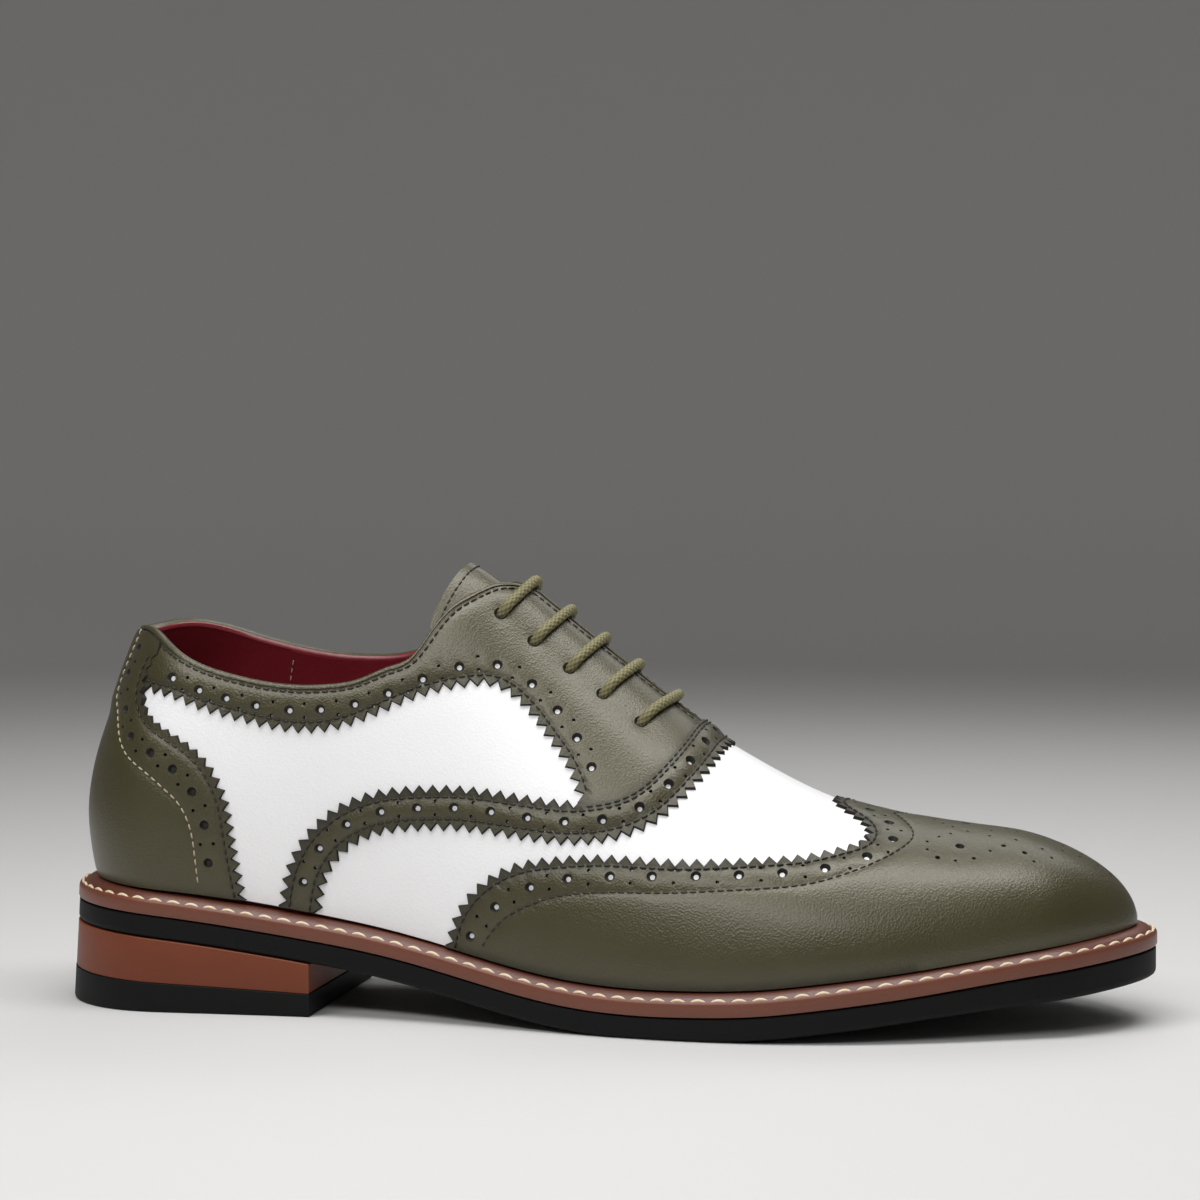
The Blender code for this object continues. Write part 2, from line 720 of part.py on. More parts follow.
stack("heel_block", [
    (heel_outline(0.3), lambda x: lift_top(x) + GAP),
    (heel_outline(0.3), below(heel_low)),
])
stack("top_lift", [
    (heel_outline(0.9), lambda x: 0.0),
    (heel_outline(0.2), lambda x: 1.0),
    (heel_outline(0.2), lift_top),
])

# Laces: one bar over the slit for each pair of holes
for number, (at, up, ridge_at) in enumerate(EYELETS, 1):
    q = np.linspace(-(1 - up), 1 - up, 10)
    bend = spline([-(1 - up), 0, 1 - up], [at * LENGTH, ridge_at * LENGTH, at * LENGTH])
    centre = skin(bend(q), q, HIGH + GAP + LACE / 2 + 0.25)
    outward = skin(bend(q), q, 1.0) - skin(bend(q), q, 0.0)
    path = np.gradient(centre, axis=0)
    path /= np.linalg.norm(path, axis=1, keepdims=True)
    across = np.cross(path, outward)
    across /= np.linalg.norm(across, axis=1, keepdims=True)
    raised = np.cross(across, path)
    turn = np.linspace(0, 2 * math.pi, 8)[:-1]
    rings = [c + (LACE / 2) * (np.cos(turn)[:, None] * a + np.sin(turn)[:, None] * r)
             for c, a, r in zip(centre, across, raised)]
    faces = [[i * 7 + k, i * 7 + (k + 1) % 7, (i + 1) * 7 + (k + 1) % 7, (i + 1) * 7 + k]
             for i in range(9) for k in range(7)]
    faces += [list(range(7))[::-1], list(range(63, 70))]
    new_object("lace_bar_%d" % number, np.concatenate(rings), faces)

# Origin at the bottom centre of the whole
every = [obj for obj in bpy.context.scene.objects if obj.type == "MESH"]
corners = np.array([tuple(v.co) for obj in every for v in obj.data.vertices])
centre = (corners.min(axis=0) + corners.max(axis=0)) / 2
for obj in every:
    for v in obj.data.vertices:
        v.co.x -= centre[0]
        v.co.y -= centre[1]
        v.co.z -= corners[:, 2].min()
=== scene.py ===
"""Looks of a right two-tone full brogue lace-up shoe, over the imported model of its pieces.

The shoe's own sizes are in millimetres: x from the back of the heel to the toe, -y the outer
(lateral) side, z up.
"""

import math

import bpy
import numpy as np
from mathutils import Matrix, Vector
from mathutils.geometry import delaunay_2d_cdt
from mathutils.kdtree import KDTree


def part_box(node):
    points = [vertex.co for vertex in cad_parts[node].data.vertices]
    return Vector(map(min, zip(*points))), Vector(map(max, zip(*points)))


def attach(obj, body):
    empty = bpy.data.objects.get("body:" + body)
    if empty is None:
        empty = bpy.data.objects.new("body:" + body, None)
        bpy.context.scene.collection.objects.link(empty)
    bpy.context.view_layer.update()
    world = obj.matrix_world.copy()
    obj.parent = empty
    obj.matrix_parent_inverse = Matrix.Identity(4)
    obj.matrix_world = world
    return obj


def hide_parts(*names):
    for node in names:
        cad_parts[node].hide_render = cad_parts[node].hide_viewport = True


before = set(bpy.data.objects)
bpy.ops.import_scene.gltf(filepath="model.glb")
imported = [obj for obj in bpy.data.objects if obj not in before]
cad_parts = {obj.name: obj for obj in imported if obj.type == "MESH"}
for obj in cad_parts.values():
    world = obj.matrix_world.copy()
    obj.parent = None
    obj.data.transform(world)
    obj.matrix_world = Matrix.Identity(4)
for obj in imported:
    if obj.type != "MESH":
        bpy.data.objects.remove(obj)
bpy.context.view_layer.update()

# Driving sizes
LENGTH = 305.0
BALL_WIDTH = 104.0
HEEL_WIDTH = 69.0
INSTEP = 78.6
SEAT_HEIGHT = 35.2
WELT_MARGIN = 4.4
LACE = 3.0
MM = 0.001

# The outsole's outline: half widths as shares of BALL_WIDTH, at shares of LENGTH
SOLE_OUTLINE = [
    # at, lateral, medial
    (0.000, 0.332, 0.332), (0.111, 0.332, 0.329), (0.197, 0.331, 0.321), (0.256, 0.334, 0.310),
    (0.344, 0.358, 0.294), (0.443, 0.418, 0.306), (0.531, 0.477, 0.358), (0.623, 0.510, 0.433),
    (0.702, 0.502, 0.479), (0.748, 0.479, 0.483), (0.787, 0.450, 0.469), (0.869, 0.366, 0.404),
    (0.934, 0.288, 0.325), (1.000, 0.212, 0.245),
]
# The feather line, where upper and welt meet: height as a share of SEAT_HEIGHT
FEATHER = [
    # at, height
    (0.000, 1.000), (0.098, 0.943), (0.164, 0.881), (0.252, 0.778), (0.328, 0.673), (0.384, 0.571),
    (0.436, 0.472), (0.485, 0.398), (0.531, 0.361), (0.577, 0.352), (0.623, 0.361), (0.666, 0.381),
    (0.702, 0.415), (0.784, 0.506), (0.866, 0.614), (0.951, 0.716), (1.000, 0.767),
]
# The ridge of the last, over the open collar too, where it is only a guide: height as a share of
# INSTEP
RIDGE = [
    # at, height
    (0.000, 1.756), (0.131, 1.743), (0.243, 1.724), (0.328, 1.686), (0.393, 1.590), (0.439, 1.461),
    (0.492, 1.300), (0.541, 1.153), (0.593, 1.000), (0.636, 0.896), (0.682, 0.801), (0.718, 0.740),
    (0.761, 0.692), (0.797, 0.668), (0.869, 0.637), (0.934, 0.611), (1.000, 0.598),
]
# The wall between them: rise and crown are the handles of its curve, lean its angle out, ridge_y
# the ridge's offset
WALL_FORM = [
    # at, rise, lean, crown, ridge_y
    (0.000, 0.385, 8.0, 0.144, 0.000), (0.111, 0.375, 8.0, 0.163, 0.000),
    (0.243, 0.365, 6.0, 0.231, 0.005), (0.344, 0.356, 5.0, 0.212, 0.005),
    (0.439, 0.346, 4.0, 0.163, 0.000), (0.525, 0.298, 4.0, 0.183, 0.000),
    (0.593, 0.250, 6.0, 0.221, 0.000), (0.682, 0.192, 8.0, 0.279, 0.002),
    (0.761, 0.154, 8.0, 0.288, -0.005), (0.869, 0.115, 6.0, 0.231, -0.010),
    (0.984, 0.087, 4.0, 0.135, 0.000),
]
# The back of the heel: how far the wall stands forward, in shares of HEEL_WIDTH, by height as a
# share of SEAT_HEIGHT
HEEL_CURVE = [
    # height, forward
    (0.57, 0.145), (0.97, 0.122), (1.11, 0.109), (1.31, 0.094), (1.53, 0.088), (1.73, 0.098),
    (2.02, 0.132), (2.27, 0.174), (2.59, 0.227), (2.90, 0.287), (3.41, 0.383), (3.98, 0.490),
]
# The topline: height up the wall, 0 at the feather and 1 at the ridge, of each side
TOPLINE = [
    # at, lateral, medial
    (0.000, 0.675, 0.675), (0.022, 0.655, 0.668), (0.044, 0.620, 0.652), (0.087, 0.564, 0.618),
    (0.132, 0.536, 0.595), (0.183, 0.520, 0.578), (0.231, 0.520, 0.575), (0.259, 0.529, 0.581),
    (0.292, 0.553, 0.598), (0.323, 0.597, 0.630), (0.346, 0.645, 0.668), (0.359, 0.710, 0.720),
    (0.373, 0.778, 0.780), (0.393, 0.850, 0.850), (0.406, 0.899, 0.899), (0.418, 0.936, 0.936),
    (0.430, 0.968, 0.968), (0.439, 1.000, 1.000),
]
# Middle of the band that runs up from the sole and round the throat, by length and height up the wall
SIDE_BAND = [
    # at, up
    (0.236, 0.006), (0.243, 0.079), (0.260, 0.158), (0.287, 0.223), (0.321, 0.268), (0.356, 0.298),
    (0.392, 0.328), (0.427, 0.355), (0.463, 0.381), (0.498, 0.410), (0.532, 0.457), (0.561, 0.535),
    (0.580, 0.637), (0.592, 0.734), (0.600, 0.837), (0.606, 1.000),
]
# Back edge of the winged toe cap, by height up the wall: a point on the ridge, a notch on each
# side, then the wing
WING_EDGE = [
    # up, at
    (0.006, 0.386), (0.090, 0.396), (0.150, 0.410), (0.210, 0.431), (0.265, 0.460), (0.310, 0.497),
    (0.345, 0.535), (0.380, 0.590), (0.420, 0.640), (0.470, 0.691), (0.530, 0.723), (0.590, 0.744),
    (0.660, 0.752), (0.735, 0.750), (0.805, 0.740), (0.870, 0.725), (0.930, 0.7185),
    (1.000, 0.7185),
]
# Lower edge of the collar band and the facing
FACING_EDGE = [
    # at, up
    (0.055, 0.493), (0.080, 0.480), (0.105, 0.462), (0.142, 0.444), (0.181, 0.430), (0.229, 0.424),
    (0.270, 0.442), (0.307, 0.485), (0.352, 0.558), (0.396, 0.630), (0.429, 0.668), (0.453, 0.648),
    (0.473, 0.605), (0.490, 0.560), (0.499, 0.515), (0.503, 0.488),
]
# Front edge of the heel counter with the strap that climbs to the topline
COUNTER_EDGE = [
    # up, at
    (0.006, 0.175), (0.090, 0.172), (0.160, 0.169), (0.230, 0.163), (0.280, 0.152), (0.325, 0.135),
    (0.362, 0.110), (0.395, 0.080), (0.430, 0.058), (0.480, 0.046), (0.540, 0.043), (0.612, 0.048),
    (0.690, 0.054),
]
# Lace holes on each facing, and where the bar between them crosses the ridge
EYELETS = [
    # at, up, ridge_at
    (0.417, 0.842, 0.4345), (0.448, 0.832, 0.4675), (0.481, 0.822, 0.4995), (0.512, 0.808, 0.5305),
    (0.547, 0.790, 0.5665),
]


def spline(xs, ys):
    """A natural cubic spline through the points, as a function."""
    xs, ys = np.asarray(xs, float), np.asarray(ys, float)
    n, h = len(xs), np.diff(xs)
    a, r = np.eye(n), np.zeros(n)
    for i in range(1, n - 1):
        a[i, i - 1:i + 2] = h[i - 1], 2 * (h[i - 1] + h[i]), h[i]
        r[i] = 6 * ((ys[i + 1] - ys[i]) / h[i] - (ys[i] - ys[i - 1]) / h[i - 1])
    m = np.linalg.solve(a, r)

    def value(x):
        x = np.clip(np.asarray(x, float), xs[0], xs[-1])
        k = np.clip(np.searchsorted(xs, x, side="right") - 1, 0, n - 2)
        t, hk = x - xs[k], h[k]
        b = (ys[k + 1] - ys[k]) / hk - hk * (2 * m[k] + m[k + 1]) / 6
        return ys[k] + t * (b + t * (m[k] / 2 + t * (m[k + 1] - m[k]) / (6 * hk)))

    return value


def columns(rows, key, *scales):
    """One spline for each column after the first, in millimetres."""
    rows = np.array(rows, float)
    return [spline(rows[:, 0] * key, rows[:, c + 1] * scale) for c, scale in enumerate(scales)]


sole_lateral, sole_medial = columns(SOLE_OUTLINE, LENGTH, BALL_WIDTH, BALL_WIDTH)
(feather_z,) = columns(FEATHER, LENGTH, SEAT_HEIGHT)
(ridge_z,) = columns(RIDGE, LENGTH, INSTEP)
wall_rise, wall_lean, wall_crown, ridge_y = columns(
    WALL_FORM, LENGTH, BALL_WIDTH, 1.0, BALL_WIDTH, BALL_WIDTH)
(heel_forward,) = columns(HEEL_CURVE, SEAT_HEIGHT, HEEL_WIDTH)
top_lateral, top_medial = columns(TOPLINE, LENGTH, 1.0, 1.0)
(wing_at,) = columns(WING_EDGE, 1.0, LENGTH)
(counter_at,) = columns(COUNTER_EDGE, 1.0, LENGTH)

TOE_X = LENGTH * 0.979
HEEL_ROUND, TOE_ROUND, NOSE_ROUND = 0.42 * HEEL_WIDTH, 0.24 * BALL_WIDTH, 0.327 * BALL_WIDTH
COLLAR_RISE, COLLAR_END, THROAT_X = 0.328 * LENGTH, 0.439 * LENGTH, 0.594 * LENGTH
SLIT = 1.2
SOLE_HEEL_ROUND, SOLE_TOE_ROUND = 0.493 * HEEL_WIDTH, 0.26 * BALL_WIDTH


def end(distance, radius):
    """0 at an end of the shoe, and 1 once past its rounding."""
    d = np.clip(distance / radius, 0, 1)
    return np.sqrt(np.maximum(1 - (1 - d) ** 2, 0))


def smooth(t):
    t = np.clip(t, 0, 1)
    return t * t * (3 - 2 * t)


def wall(x, side, count):
    """Points of one wall at station x, from the feather to the ridge, evenly spaced along it."""
    along = end(x, HEEL_ROUND) * end(TOE_X - x, TOE_ROUND)
    half = (sole_lateral(x) if side < 0 else sole_medial(x)) - WELT_MARGIN
    low = feather_z(x + 0.0177 * LENGTH * (1 - smooth(x / (0.2 * LENGTH))))
    high = (ridge_z(x) - low) * end(TOE_X - x, NOSE_ROUND)
    lean, rise = math.radians(wall_lean(x)), wall_rise(x)
    crown, across = wall_crown(x), side * ridge_y(x)
    share = end(TOE_X - x, NOSE_ROUND)
    t = np.linspace(0, 1, 4 * count)[:, None]
    corners = np.array([
        (half, 0),
        (half + rise * math.sin(lean), rise * math.cos(lean) * share),
        (crown + across, high),
        (across, high),
    ])
    curve = np.hstack([(1 - t) ** 3, 3 * (1 - t) ** 2 * t, 3 * (1 - t) * t * t, t ** 3]) @ corners
    y, z = side * curve[:, 0] * along, low + curve[:, 1]
    run = np.concatenate([[0], np.cumsum(np.hypot(np.diff(y), np.diff(z)))])
    even = np.linspace(0, run[-1], count)
    y, z = np.interp(even, run, y), np.interp(even, run, z)
    return np.stack([x + heel_forward(z) * (1 - smooth(x / (0.36 * LENGTH))), y, z], axis=1)


# The last's surface on a grid: stations along it, and q across it, -1 lateral feather, 0 ridge,
# 1 medial feather
STATIONS = np.concatenate([
    HEEL_ROUND * (1 - np.cos(np.linspace(0, math.pi / 2, 61))),
    np.linspace(HEEL_ROUND, TOE_X - NOSE_ROUND, 290)[1:],
    TOE_X - NOSE_ROUND * (1 - np.sin(np.linspace(0, math.pi / 2, 61)[1:])),
])
WALL_COUNT = 128
GRID = np.array([np.concatenate([wall(x, -1, WALL_COUNT + 1), wall(x, 1, WALL_COUNT + 1)[-2::-1]])
                 for x in STATIONS])


def grid_normals():
    """Unit normals out of the surface, the two sides agreeing on the heel's middle line."""
    along = np.gradient(GRID, axis=0)
    along[0] = GRID[1] - GRID[1][::-1]
    across = np.gradient(GRID, axis=1)
    across[-1] = across[-2]
    found = np.cross(along, across)
    lateral = np.arange(2 * WALL_COUNT + 1) <= WALL_COUNT
    found[0, ~lateral] = found[0, ::-1][~lateral] * (1, -1, 1)
    found[0, :, 1] = 0
    found /= np.linalg.norm(found, axis=2, keepdims=True) + 1e-15
    if found[len(STATIONS) // 2, WALL_COUNT, 2] < 0:
        found = -found
    found[0] *= np.where(found[0, :, :1] > 0, -1, 1)
    found[-1] = found[-2].mean(axis=0) / np.linalg.norm(found[-2].mean(axis=0))
    return found


NORMALS = grid_normals()


def sample(values, x, q):
    x, q = np.broadcast_arrays(np.asarray(x, float), np.asarray(q, float))
    i = np.clip(np.searchsorted(STATIONS, x, side="right") - 1, 0, len(STATIONS) - 2)
    a = np.clip((x - STATIONS[i]) / (STATIONS[i + 1] - STATIONS[i]), 0, 1)[..., None]
    g = (q + 1) * WALL_COUNT
    j = np.clip(g.astype(int), 0, 2 * WALL_COUNT - 1)
    b = np.clip(g - j, 0, 1)[..., None]
    return (1 - a) * ((1 - b) * values[i, j] + b * values[i, j + 1]) + a * (
        (1 - b) * values[i + 1, j] + b * values[i + 1, j + 1])


def skin(x, q, lift):
    """Points lifted off the last's surface."""
    normal = sample(NORMALS, x, q)
    normal /= np.linalg.norm(normal, axis=-1, keepdims=True)
    return sample(GRID, x, q) + lift * normal


def q_of(up, side):
    return side * (1 - np.asarray(up, float))


def arc(x, side):
    """Length of the wall at station x, feather to ridge."""
    path = sample(GRID, x, q_of(np.linspace(0, 1, 60), side))
    return np.linalg.norm(np.diff(path, axis=0), axis=1).sum()


def top_of(x, side):
    """Height up the wall of the upper's edge: the topline, then the facings' slit, then the ridge."""
    if x >= THROAT_X:
        return 1.0
    slit = 1 - 0.5 * SLIT / arc(x, side)
    return min(float((top_lateral if side < 0 else top_medial)(x)), slit) if x < COLLAR_END else slit

WHOLE = sum(np.linalg.norm(np.diff(GRID[:, half], axis=1), axis=2).sum(axis=1) / 2
            for half in (slice(0, WALL_COUNT + 1), slice(WALL_COUNT, None)))
WIDE = np.maximum(WHOLE, 30.0)
HEEL_START = HEEL_ROUND * (1 - math.pi / 2)
TOE_START = TOE_X - NOSE_ROUND
TOE_END = TOE_START + NOSE_ROUND * math.pi / 2

# The row frame's origin, in the shoe's millimetres
welt_low_corner, welt_high_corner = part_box("welt")
ORIGIN = np.array([
    LENGTH - welt_high_corner[0] / MM,
    -sole_lateral(np.linspace(0, LENGTH, 900)).max() - welt_low_corner[1] / MM,
    0.0,
])

# Measures of the unevenness: the wall's rough height, and the dips round the lace holes
ROUGH_WIDE, ROUGH_HIGH = 90, 95
EYELET_DIP, EYELET_SPREAD = 0.55, 42


def wave(x, q):
    """Soft unevenness of leather pulled over the last by hand, and the slight dips round the lace holes."""
    v = q * ROUGH_WIDE
    ups = 1 - np.abs(q)
    lift = 0.10 * np.sin(x / 9.1 + v / 23) * np.sin(v / 11.3 + 1.1)
    lift = lift + 0.08 * np.sin(x / 17.3 - v / 14.9 + 0.6)
    for at, up, _ in EYELETS:
        gap = (x - at * LENGTH) ** 2 + ((ups - up) * ROUGH_HIGH) ** 2
        lift = lift - EYELET_DIP * np.exp(-gap / EYELET_SPREAD)
    for at, up, slope, reach, width, depth in CREASES:
        down = (ups - up) * ROUGH_HIGH
        along = (x - at * LENGTH) - slope * down
        lift = lift + depth * np.exp(-(along / width) ** 2 - (down / reach) ** 2)
    return lift * smooth((x - 3) / 12) * smooth((TOE_X - x) / 20)


def on_skin(x, q, lift):
    return skin(x, q, (lift + wave(x, q))[..., None] if np.ndim(x) else lift + float(wave(x, q)))


def tops(xs, side):
    return np.array([top_of(x, side) for x in xs])


# Flat maps of the surface. Front: along the shoe and across the ridge. Back: round the heel from
# its middle, and up.

def along_of(x):
    x = np.asarray(x, float)
    heel = HEEL_START + HEEL_ROUND * np.arccos(np.clip(1 - x / HEEL_ROUND, -1, 1))
    toe = TOE_START + NOSE_ROUND * np.arcsin(np.clip(1 - (TOE_X - x) / NOSE_ROUND, -1, 1))
    return np.where(x < HEEL_ROUND, heel, np.where(x > TOE_START, toe, x))


def x_of(s):
    s = np.asarray(s, float)
    heel = HEEL_ROUND * (1 - np.cos(np.clip((s - HEEL_START) / HEEL_ROUND, 0, math.pi / 2)))
    toe = TOE_X - NOSE_ROUND * (1 - np.sin(np.clip((s - TOE_START) / NOSE_ROUND, 0, math.pi / 2)))
    return np.where(s < HEEL_ROUND, heel, np.where(s > TOE_START, toe, s))


def wide(x):
    return np.interp(x, STATIONS, WIDE)


class Front:
    @staticmethod
    def plane(x, q):
        x, q = np.broadcast_arrays(np.asarray(x, float), np.asarray(q, float))
        return np.stack([along_of(x), q * wide(x)], axis=-1)

    @staticmethod
    def surface(p):
        x = x_of(p[..., 0])
        return x, np.clip(p[..., 1] / wide(x), -1, 1)


class Back:
    @staticmethod
    def plane(x, q):
        x, q = np.broadcast_arrays(np.asarray(x, float), np.asarray(q, float))
        side = np.where(q < 0, -1, 1)
        return np.stack([side * (along_of(x) - HEEL_START), (1 - np.abs(q)) * wide(x)], axis=-1)

    @staticmethod
    def surface(p):
        x = x_of(np.abs(p[..., 0]) + HEEL_START)
        side = np.where(p[..., 0] < 0, -1, 1)
        return x, side * np.clip(1 - p[..., 1] / wide(x), 0, 1)


def unit(vectors):
    return vectors / np.linalg.norm(vectors, axis=-1, keepdims=True)


def real(chart, p, lift=0.0):
    x, q = chart.surface(np.asarray(p, float))
    return on_skin(x, q, np.broadcast_to(lift, x.shape))


def slopes(chart, p, step=0.4):
    """Change of the real point along each direction of the flat map."""
    return [(real(chart, p + d) - real(chart, p - d)) / (2 * step) for d in np.eye(2) * step]


def normals(chart, p):
    return unit(sample(NORMALS, *chart.surface(np.asarray(p, float))))


def run_of(points):
    return np.concatenate([[0], np.cumsum(np.linalg.norm(np.diff(points, axis=0), axis=1))])


def at_run(places, run, points):
    """Points at some distances along a path."""
    return np.stack([np.interp(places, run, column) for column in points.T], axis=1)


def resample(chart, path, count):
    run = run_of(real(chart, path))
    return at_run(np.linspace(0, run[-1], count), run, path)


def length_of(chart, path):
    return run_of(real(chart, path))[-1]


def evened(chart, path, step):
    """The path as points about a step apart."""
    return resample(chart, path, max(3, int(length_of(chart, path) / step)))


def flat_step(chart, p, move):
    """The step in the flat map that gives a small real move along the surface."""
    by_u, by_v = slopes(chart, p)
    uu, uv, vv = (by_u * by_u).sum(-1), (by_u * by_v).sum(-1), (by_v * by_v).sum(-1)
    mu, mv = (by_u * move).sum(-1), (by_v * move).sum(-1)
    det = uu * vv - uv * uv + 1e-12
    return np.stack([(vv * mu - uv * mv) / det, (uu * mv - uv * mu) / det], axis=-1)


def offset(chart, path, amount):
    """The path moved square to itself along the surface; plus is to its left seen from outside."""
    tangent = unit(np.gradient(real(chart, path), axis=0))
    amount = np.broadcast_to(amount, len(path))[:, None]
    return path + flat_step(chart, path, np.cross(normals(chart, path), tangent) * amount)


def at_rows(chart, rows, side):
    rows = np.array(rows, float)
    return chart.plane(rows[:, 0] * LENGTH, side * (1 - rows[:, 1]))


def curve(chart, rows, side, fine=14):
    """A smooth path through rows of (at, up)."""
    p = at_rows(chart, [row[:2] for row in rows], side)
    t = run_of(p)
    s = np.linspace(0, t[-1], fine * len(rows))
    return np.stack([spline(t, p[:, k])(s) for k in (0, 1)], axis=1)


def mirrored(path):
    """A lateral path of the front map carried on over the ridge to the medial side."""
    return np.concatenate([path, (path * (1, -1))[-2::-1]])


def stretches(ends, counts):
    """Evenly spaced places over each stretch between the ends, none of them twice."""
    rows = [np.linspace(a, b, n)[:-1] for a, b, n in zip(ends, ends[1:], counts)]
    return np.concatenate(rows + [ends[-1:]])


def pinked(chart, path, pitch=3.75, depth=2.2):
    """Saw teeth along a path, a tip in its middle; depth may be a function of the plane's points."""
    count = 4 * round(length_of(chart, path) / (2 * pitch)) + 1
    even = resample(chart, path, count)
    depth = depth(even) if callable(depth) else depth
    return offset(chart, even, np.where(np.arange(count) % 2 == 0, 0.5, -0.5) * depth)


def circle(chart, centre, radius, count):
    one = unit(slopes(chart, centre)[0])
    other = np.cross(normals(chart, centre), one)
    turn = np.linspace(0, 2 * math.pi, count + 1)[:-1, None]
    centres = np.repeat(centre[None], count, axis=0)
    return centres + flat_step(chart, centres, radius * (np.cos(turn) * one + np.sin(turn) * other))


def inside(points, polygon):
    found = np.zeros(len(points), bool)
    x0, y0 = polygon.T
    x1, y1 = np.roll(polygon, -1, axis=0).T
    for start in range(0, len(points), 3000):
        x, y = points[start:start + 3000, 0, None], points[start:start + 3000, 1, None]
        crosses = (y0 > y) != (y1 > y)
        at = x0 + (y - y0) / (y1 - y0 + 1e-12) * (x1 - x0)
        found[start:start + 3000] = (crosses & (x < at)).sum(axis=1) % 2 == 1
    return found


def nearest_of(points, targets):
    """The number of the nearest target to each point, and how far it is."""
    tree = KDTree(len(targets))
    for k, target in enumerate(np.pad(targets, ((0, 0), (0, 3 - targets.shape[1])))):
        tree.insert(target, k)
    tree.balance()
    asked = np.pad(points, ((0, 0), (0, 3 - points.shape[1])))
    found = np.array([tree.find(p)[1:] for p in asked])
    return found[:, 0].astype(int), found[:, 1]


def nearest(points, targets):
    return nearest_of(points, targets)[1]


# Meshes

def to_row(points):
    return (np.asarray(points, float) - ORIGIN) * MM


def volume(points, faces):
    """Signed volume of a closed mesh: positive where its faces turn out."""
    fans = np.array([(face[0], a, b) for face in faces for a, b in zip(face[1:], face[2:])])
    a, b, c = np.asarray(points, float)[fans].transpose(1, 0, 2)
    return (a * np.cross(b, c)).sum() / 6


def piece(name, slot, points, faces, materials, *nodes, kinds=None, sharp=50, burnish_and_painted_shade=None):
    """A closed mesh on the shoe's body, its faces turned out, which replaces the named solids."""
    if volume(points, faces) < 0:
        faces = [list(face)[::-1] for face in faces]
    mesh = bpy.data.meshes.new(name)
    mesh.from_pydata(to_row(points).tolist(), [], faces)
    for material in materials:
        mesh.materials.append(material)
    if kinds is not None:
        mesh.polygons.foreach_set("material_index", np.asarray(kinds, np.int32))
    mesh.polygons.foreach_set("use_smooth", np.ones(len(mesh.polygons), bool))
    # The burnish_and_painted_shade attribute: how much each point is darkened, by burnish and by painted
    # shade
    if burnish_and_painted_shade is not None:
        darkening = mesh.attributes.new("burnish_and_painted_shade", "FLOAT", "POINT")
        darkening.data.foreach_set("value", burnish_and_painted_shade.astype(np.float32))
    mesh.validate()
    mesh.update()
    if sharp:
        mesh.set_sharp_from_angle(angle=math.radians(sharp))
    made = bpy.data.objects.new(name, mesh)
    bpy.context.scene.collection.objects.link(made)
    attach(made, "root")
    if nodes:
        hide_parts(*nodes)


def quads(n, m, around=False):
    """Faces over n rows of m points, each row a loop where the grid goes around."""
    return [[i * m + k, i * m + (k + 1) % m, (i + 1) * m + (k + 1) % m, (i + 1) * m + k]
            for i in range(n - 1) for k in range(m if around else m - 1)]


def joined(parts):
    """Points and faces of several meshes as one."""
    points, faces, start = [], [], 0
    for some, its_faces in parts:
        points.append(some)
        faces += [[v + start for v in face] for face in its_faces]
        start += len(some)
    return np.concatenate(points), faces


def tube(centre, across, over, radii):
    """A rod along a line, capped at both ends, with a row of radii for each of its rings."""
    n, m = radii.shape
    turn = 2 * math.pi * np.arange(m) / m
    across, over = (np.broadcast_to(v, centre.shape)[:, None] for v in (across, over))
    x, y = (radii * np.cos(turn))[..., None], (radii * np.sin(turn))[..., None]
    caps = [list(range(m))[::-1], list(range((n - 1) * m, n * m))]
    return (centre[:, None] + x * across + y * over).reshape(-1, 3), quads(n, m, around=True) + caps


def closed(top, bottom, faces):
    """Points and faces of a solid between two matching skins, and 1 for each face of its sides."""
    count = len(top)
    pairs = [(face[n - 1], v) for face in faces for n, v in enumerate(face)]
    known = set(pairs)
    rim = [(a, b) for a, b in pairs if (b, a) not in known]
    whole = [list(f) for f in faces] + [[v + count for v in reversed(f)] for f in faces]
    kinds = [0] * len(whole) + [1] * len(rim)
    whole += [[b, a, a + count, b + count] for a, b in rim]
    return np.concatenate([top, bottom]), whole, kinds


def weld(lists, faces, within=2e-3):
    """Points that fall together made one, in each of the matching point lists alike."""
    keys = np.round(lists[0] / within).astype(np.int64)
    _, first, index = np.unique(keys, axis=0, return_index=True, return_inverse=True)
    index = index.reshape(-1)
    found = []
    for face in faces:
        face = [int(index[v]) for v in face]
        face = [v for n, v in enumerate(face) if v != face[n - 1]]
        if len(set(face)) > 2:
            found.append(face)
    return [p[first] for p in lists], found


# Overlays: their underside and top, how much higher one lies over another, the narrowing of their
# holes, the lean of their cut edges, how far edge, seams and holes draw them down and between
# them the leather puffs up, and how far in from the edge the burnish and painted shade reach
LOW, HIGH = -0.2, 1.1
OVER = 0.7
HOLE_TAPER = 0.58
EDGE_FLARE = 0.5
EDGE_DROP, SEAM_DROP, HOLE_DROP, PUFF = 0.35, 0.26, 0.13, 0.18
EDGE_REACH, SEAM_REACH, HOLE_REACH, PUFF_REACH, BURNISH_AND_SHADE_REACH = 1.5, 0.62, 0.7, 2.4, 1.9
BIG_HOLE, SMALL_HOLE, PAIR_APART = 1.42, 0.5, 1.85
# Their meshes: spacing of the field, steps along seams and between the three rows of each, and the
# least gaps of the field to those rows and of all of it to the edge
FIELD_STEP, SEAM_STEP, ROWS_APART = 1.6, 1.25, 0.75
ROW_GAP, EDGE_GAP = 0.62, 0.55


def bell(gap, reach):
    return np.exp(-(gap / reach) ** 2)


def thirds(ring):
    """A loop's corners, and two points on each of its sides."""
    step = (np.roll(ring, -1, axis=0) - ring) / 3
    return np.stack([ring, ring + step, ring + 2 * step], axis=1).reshape(-1, 2)


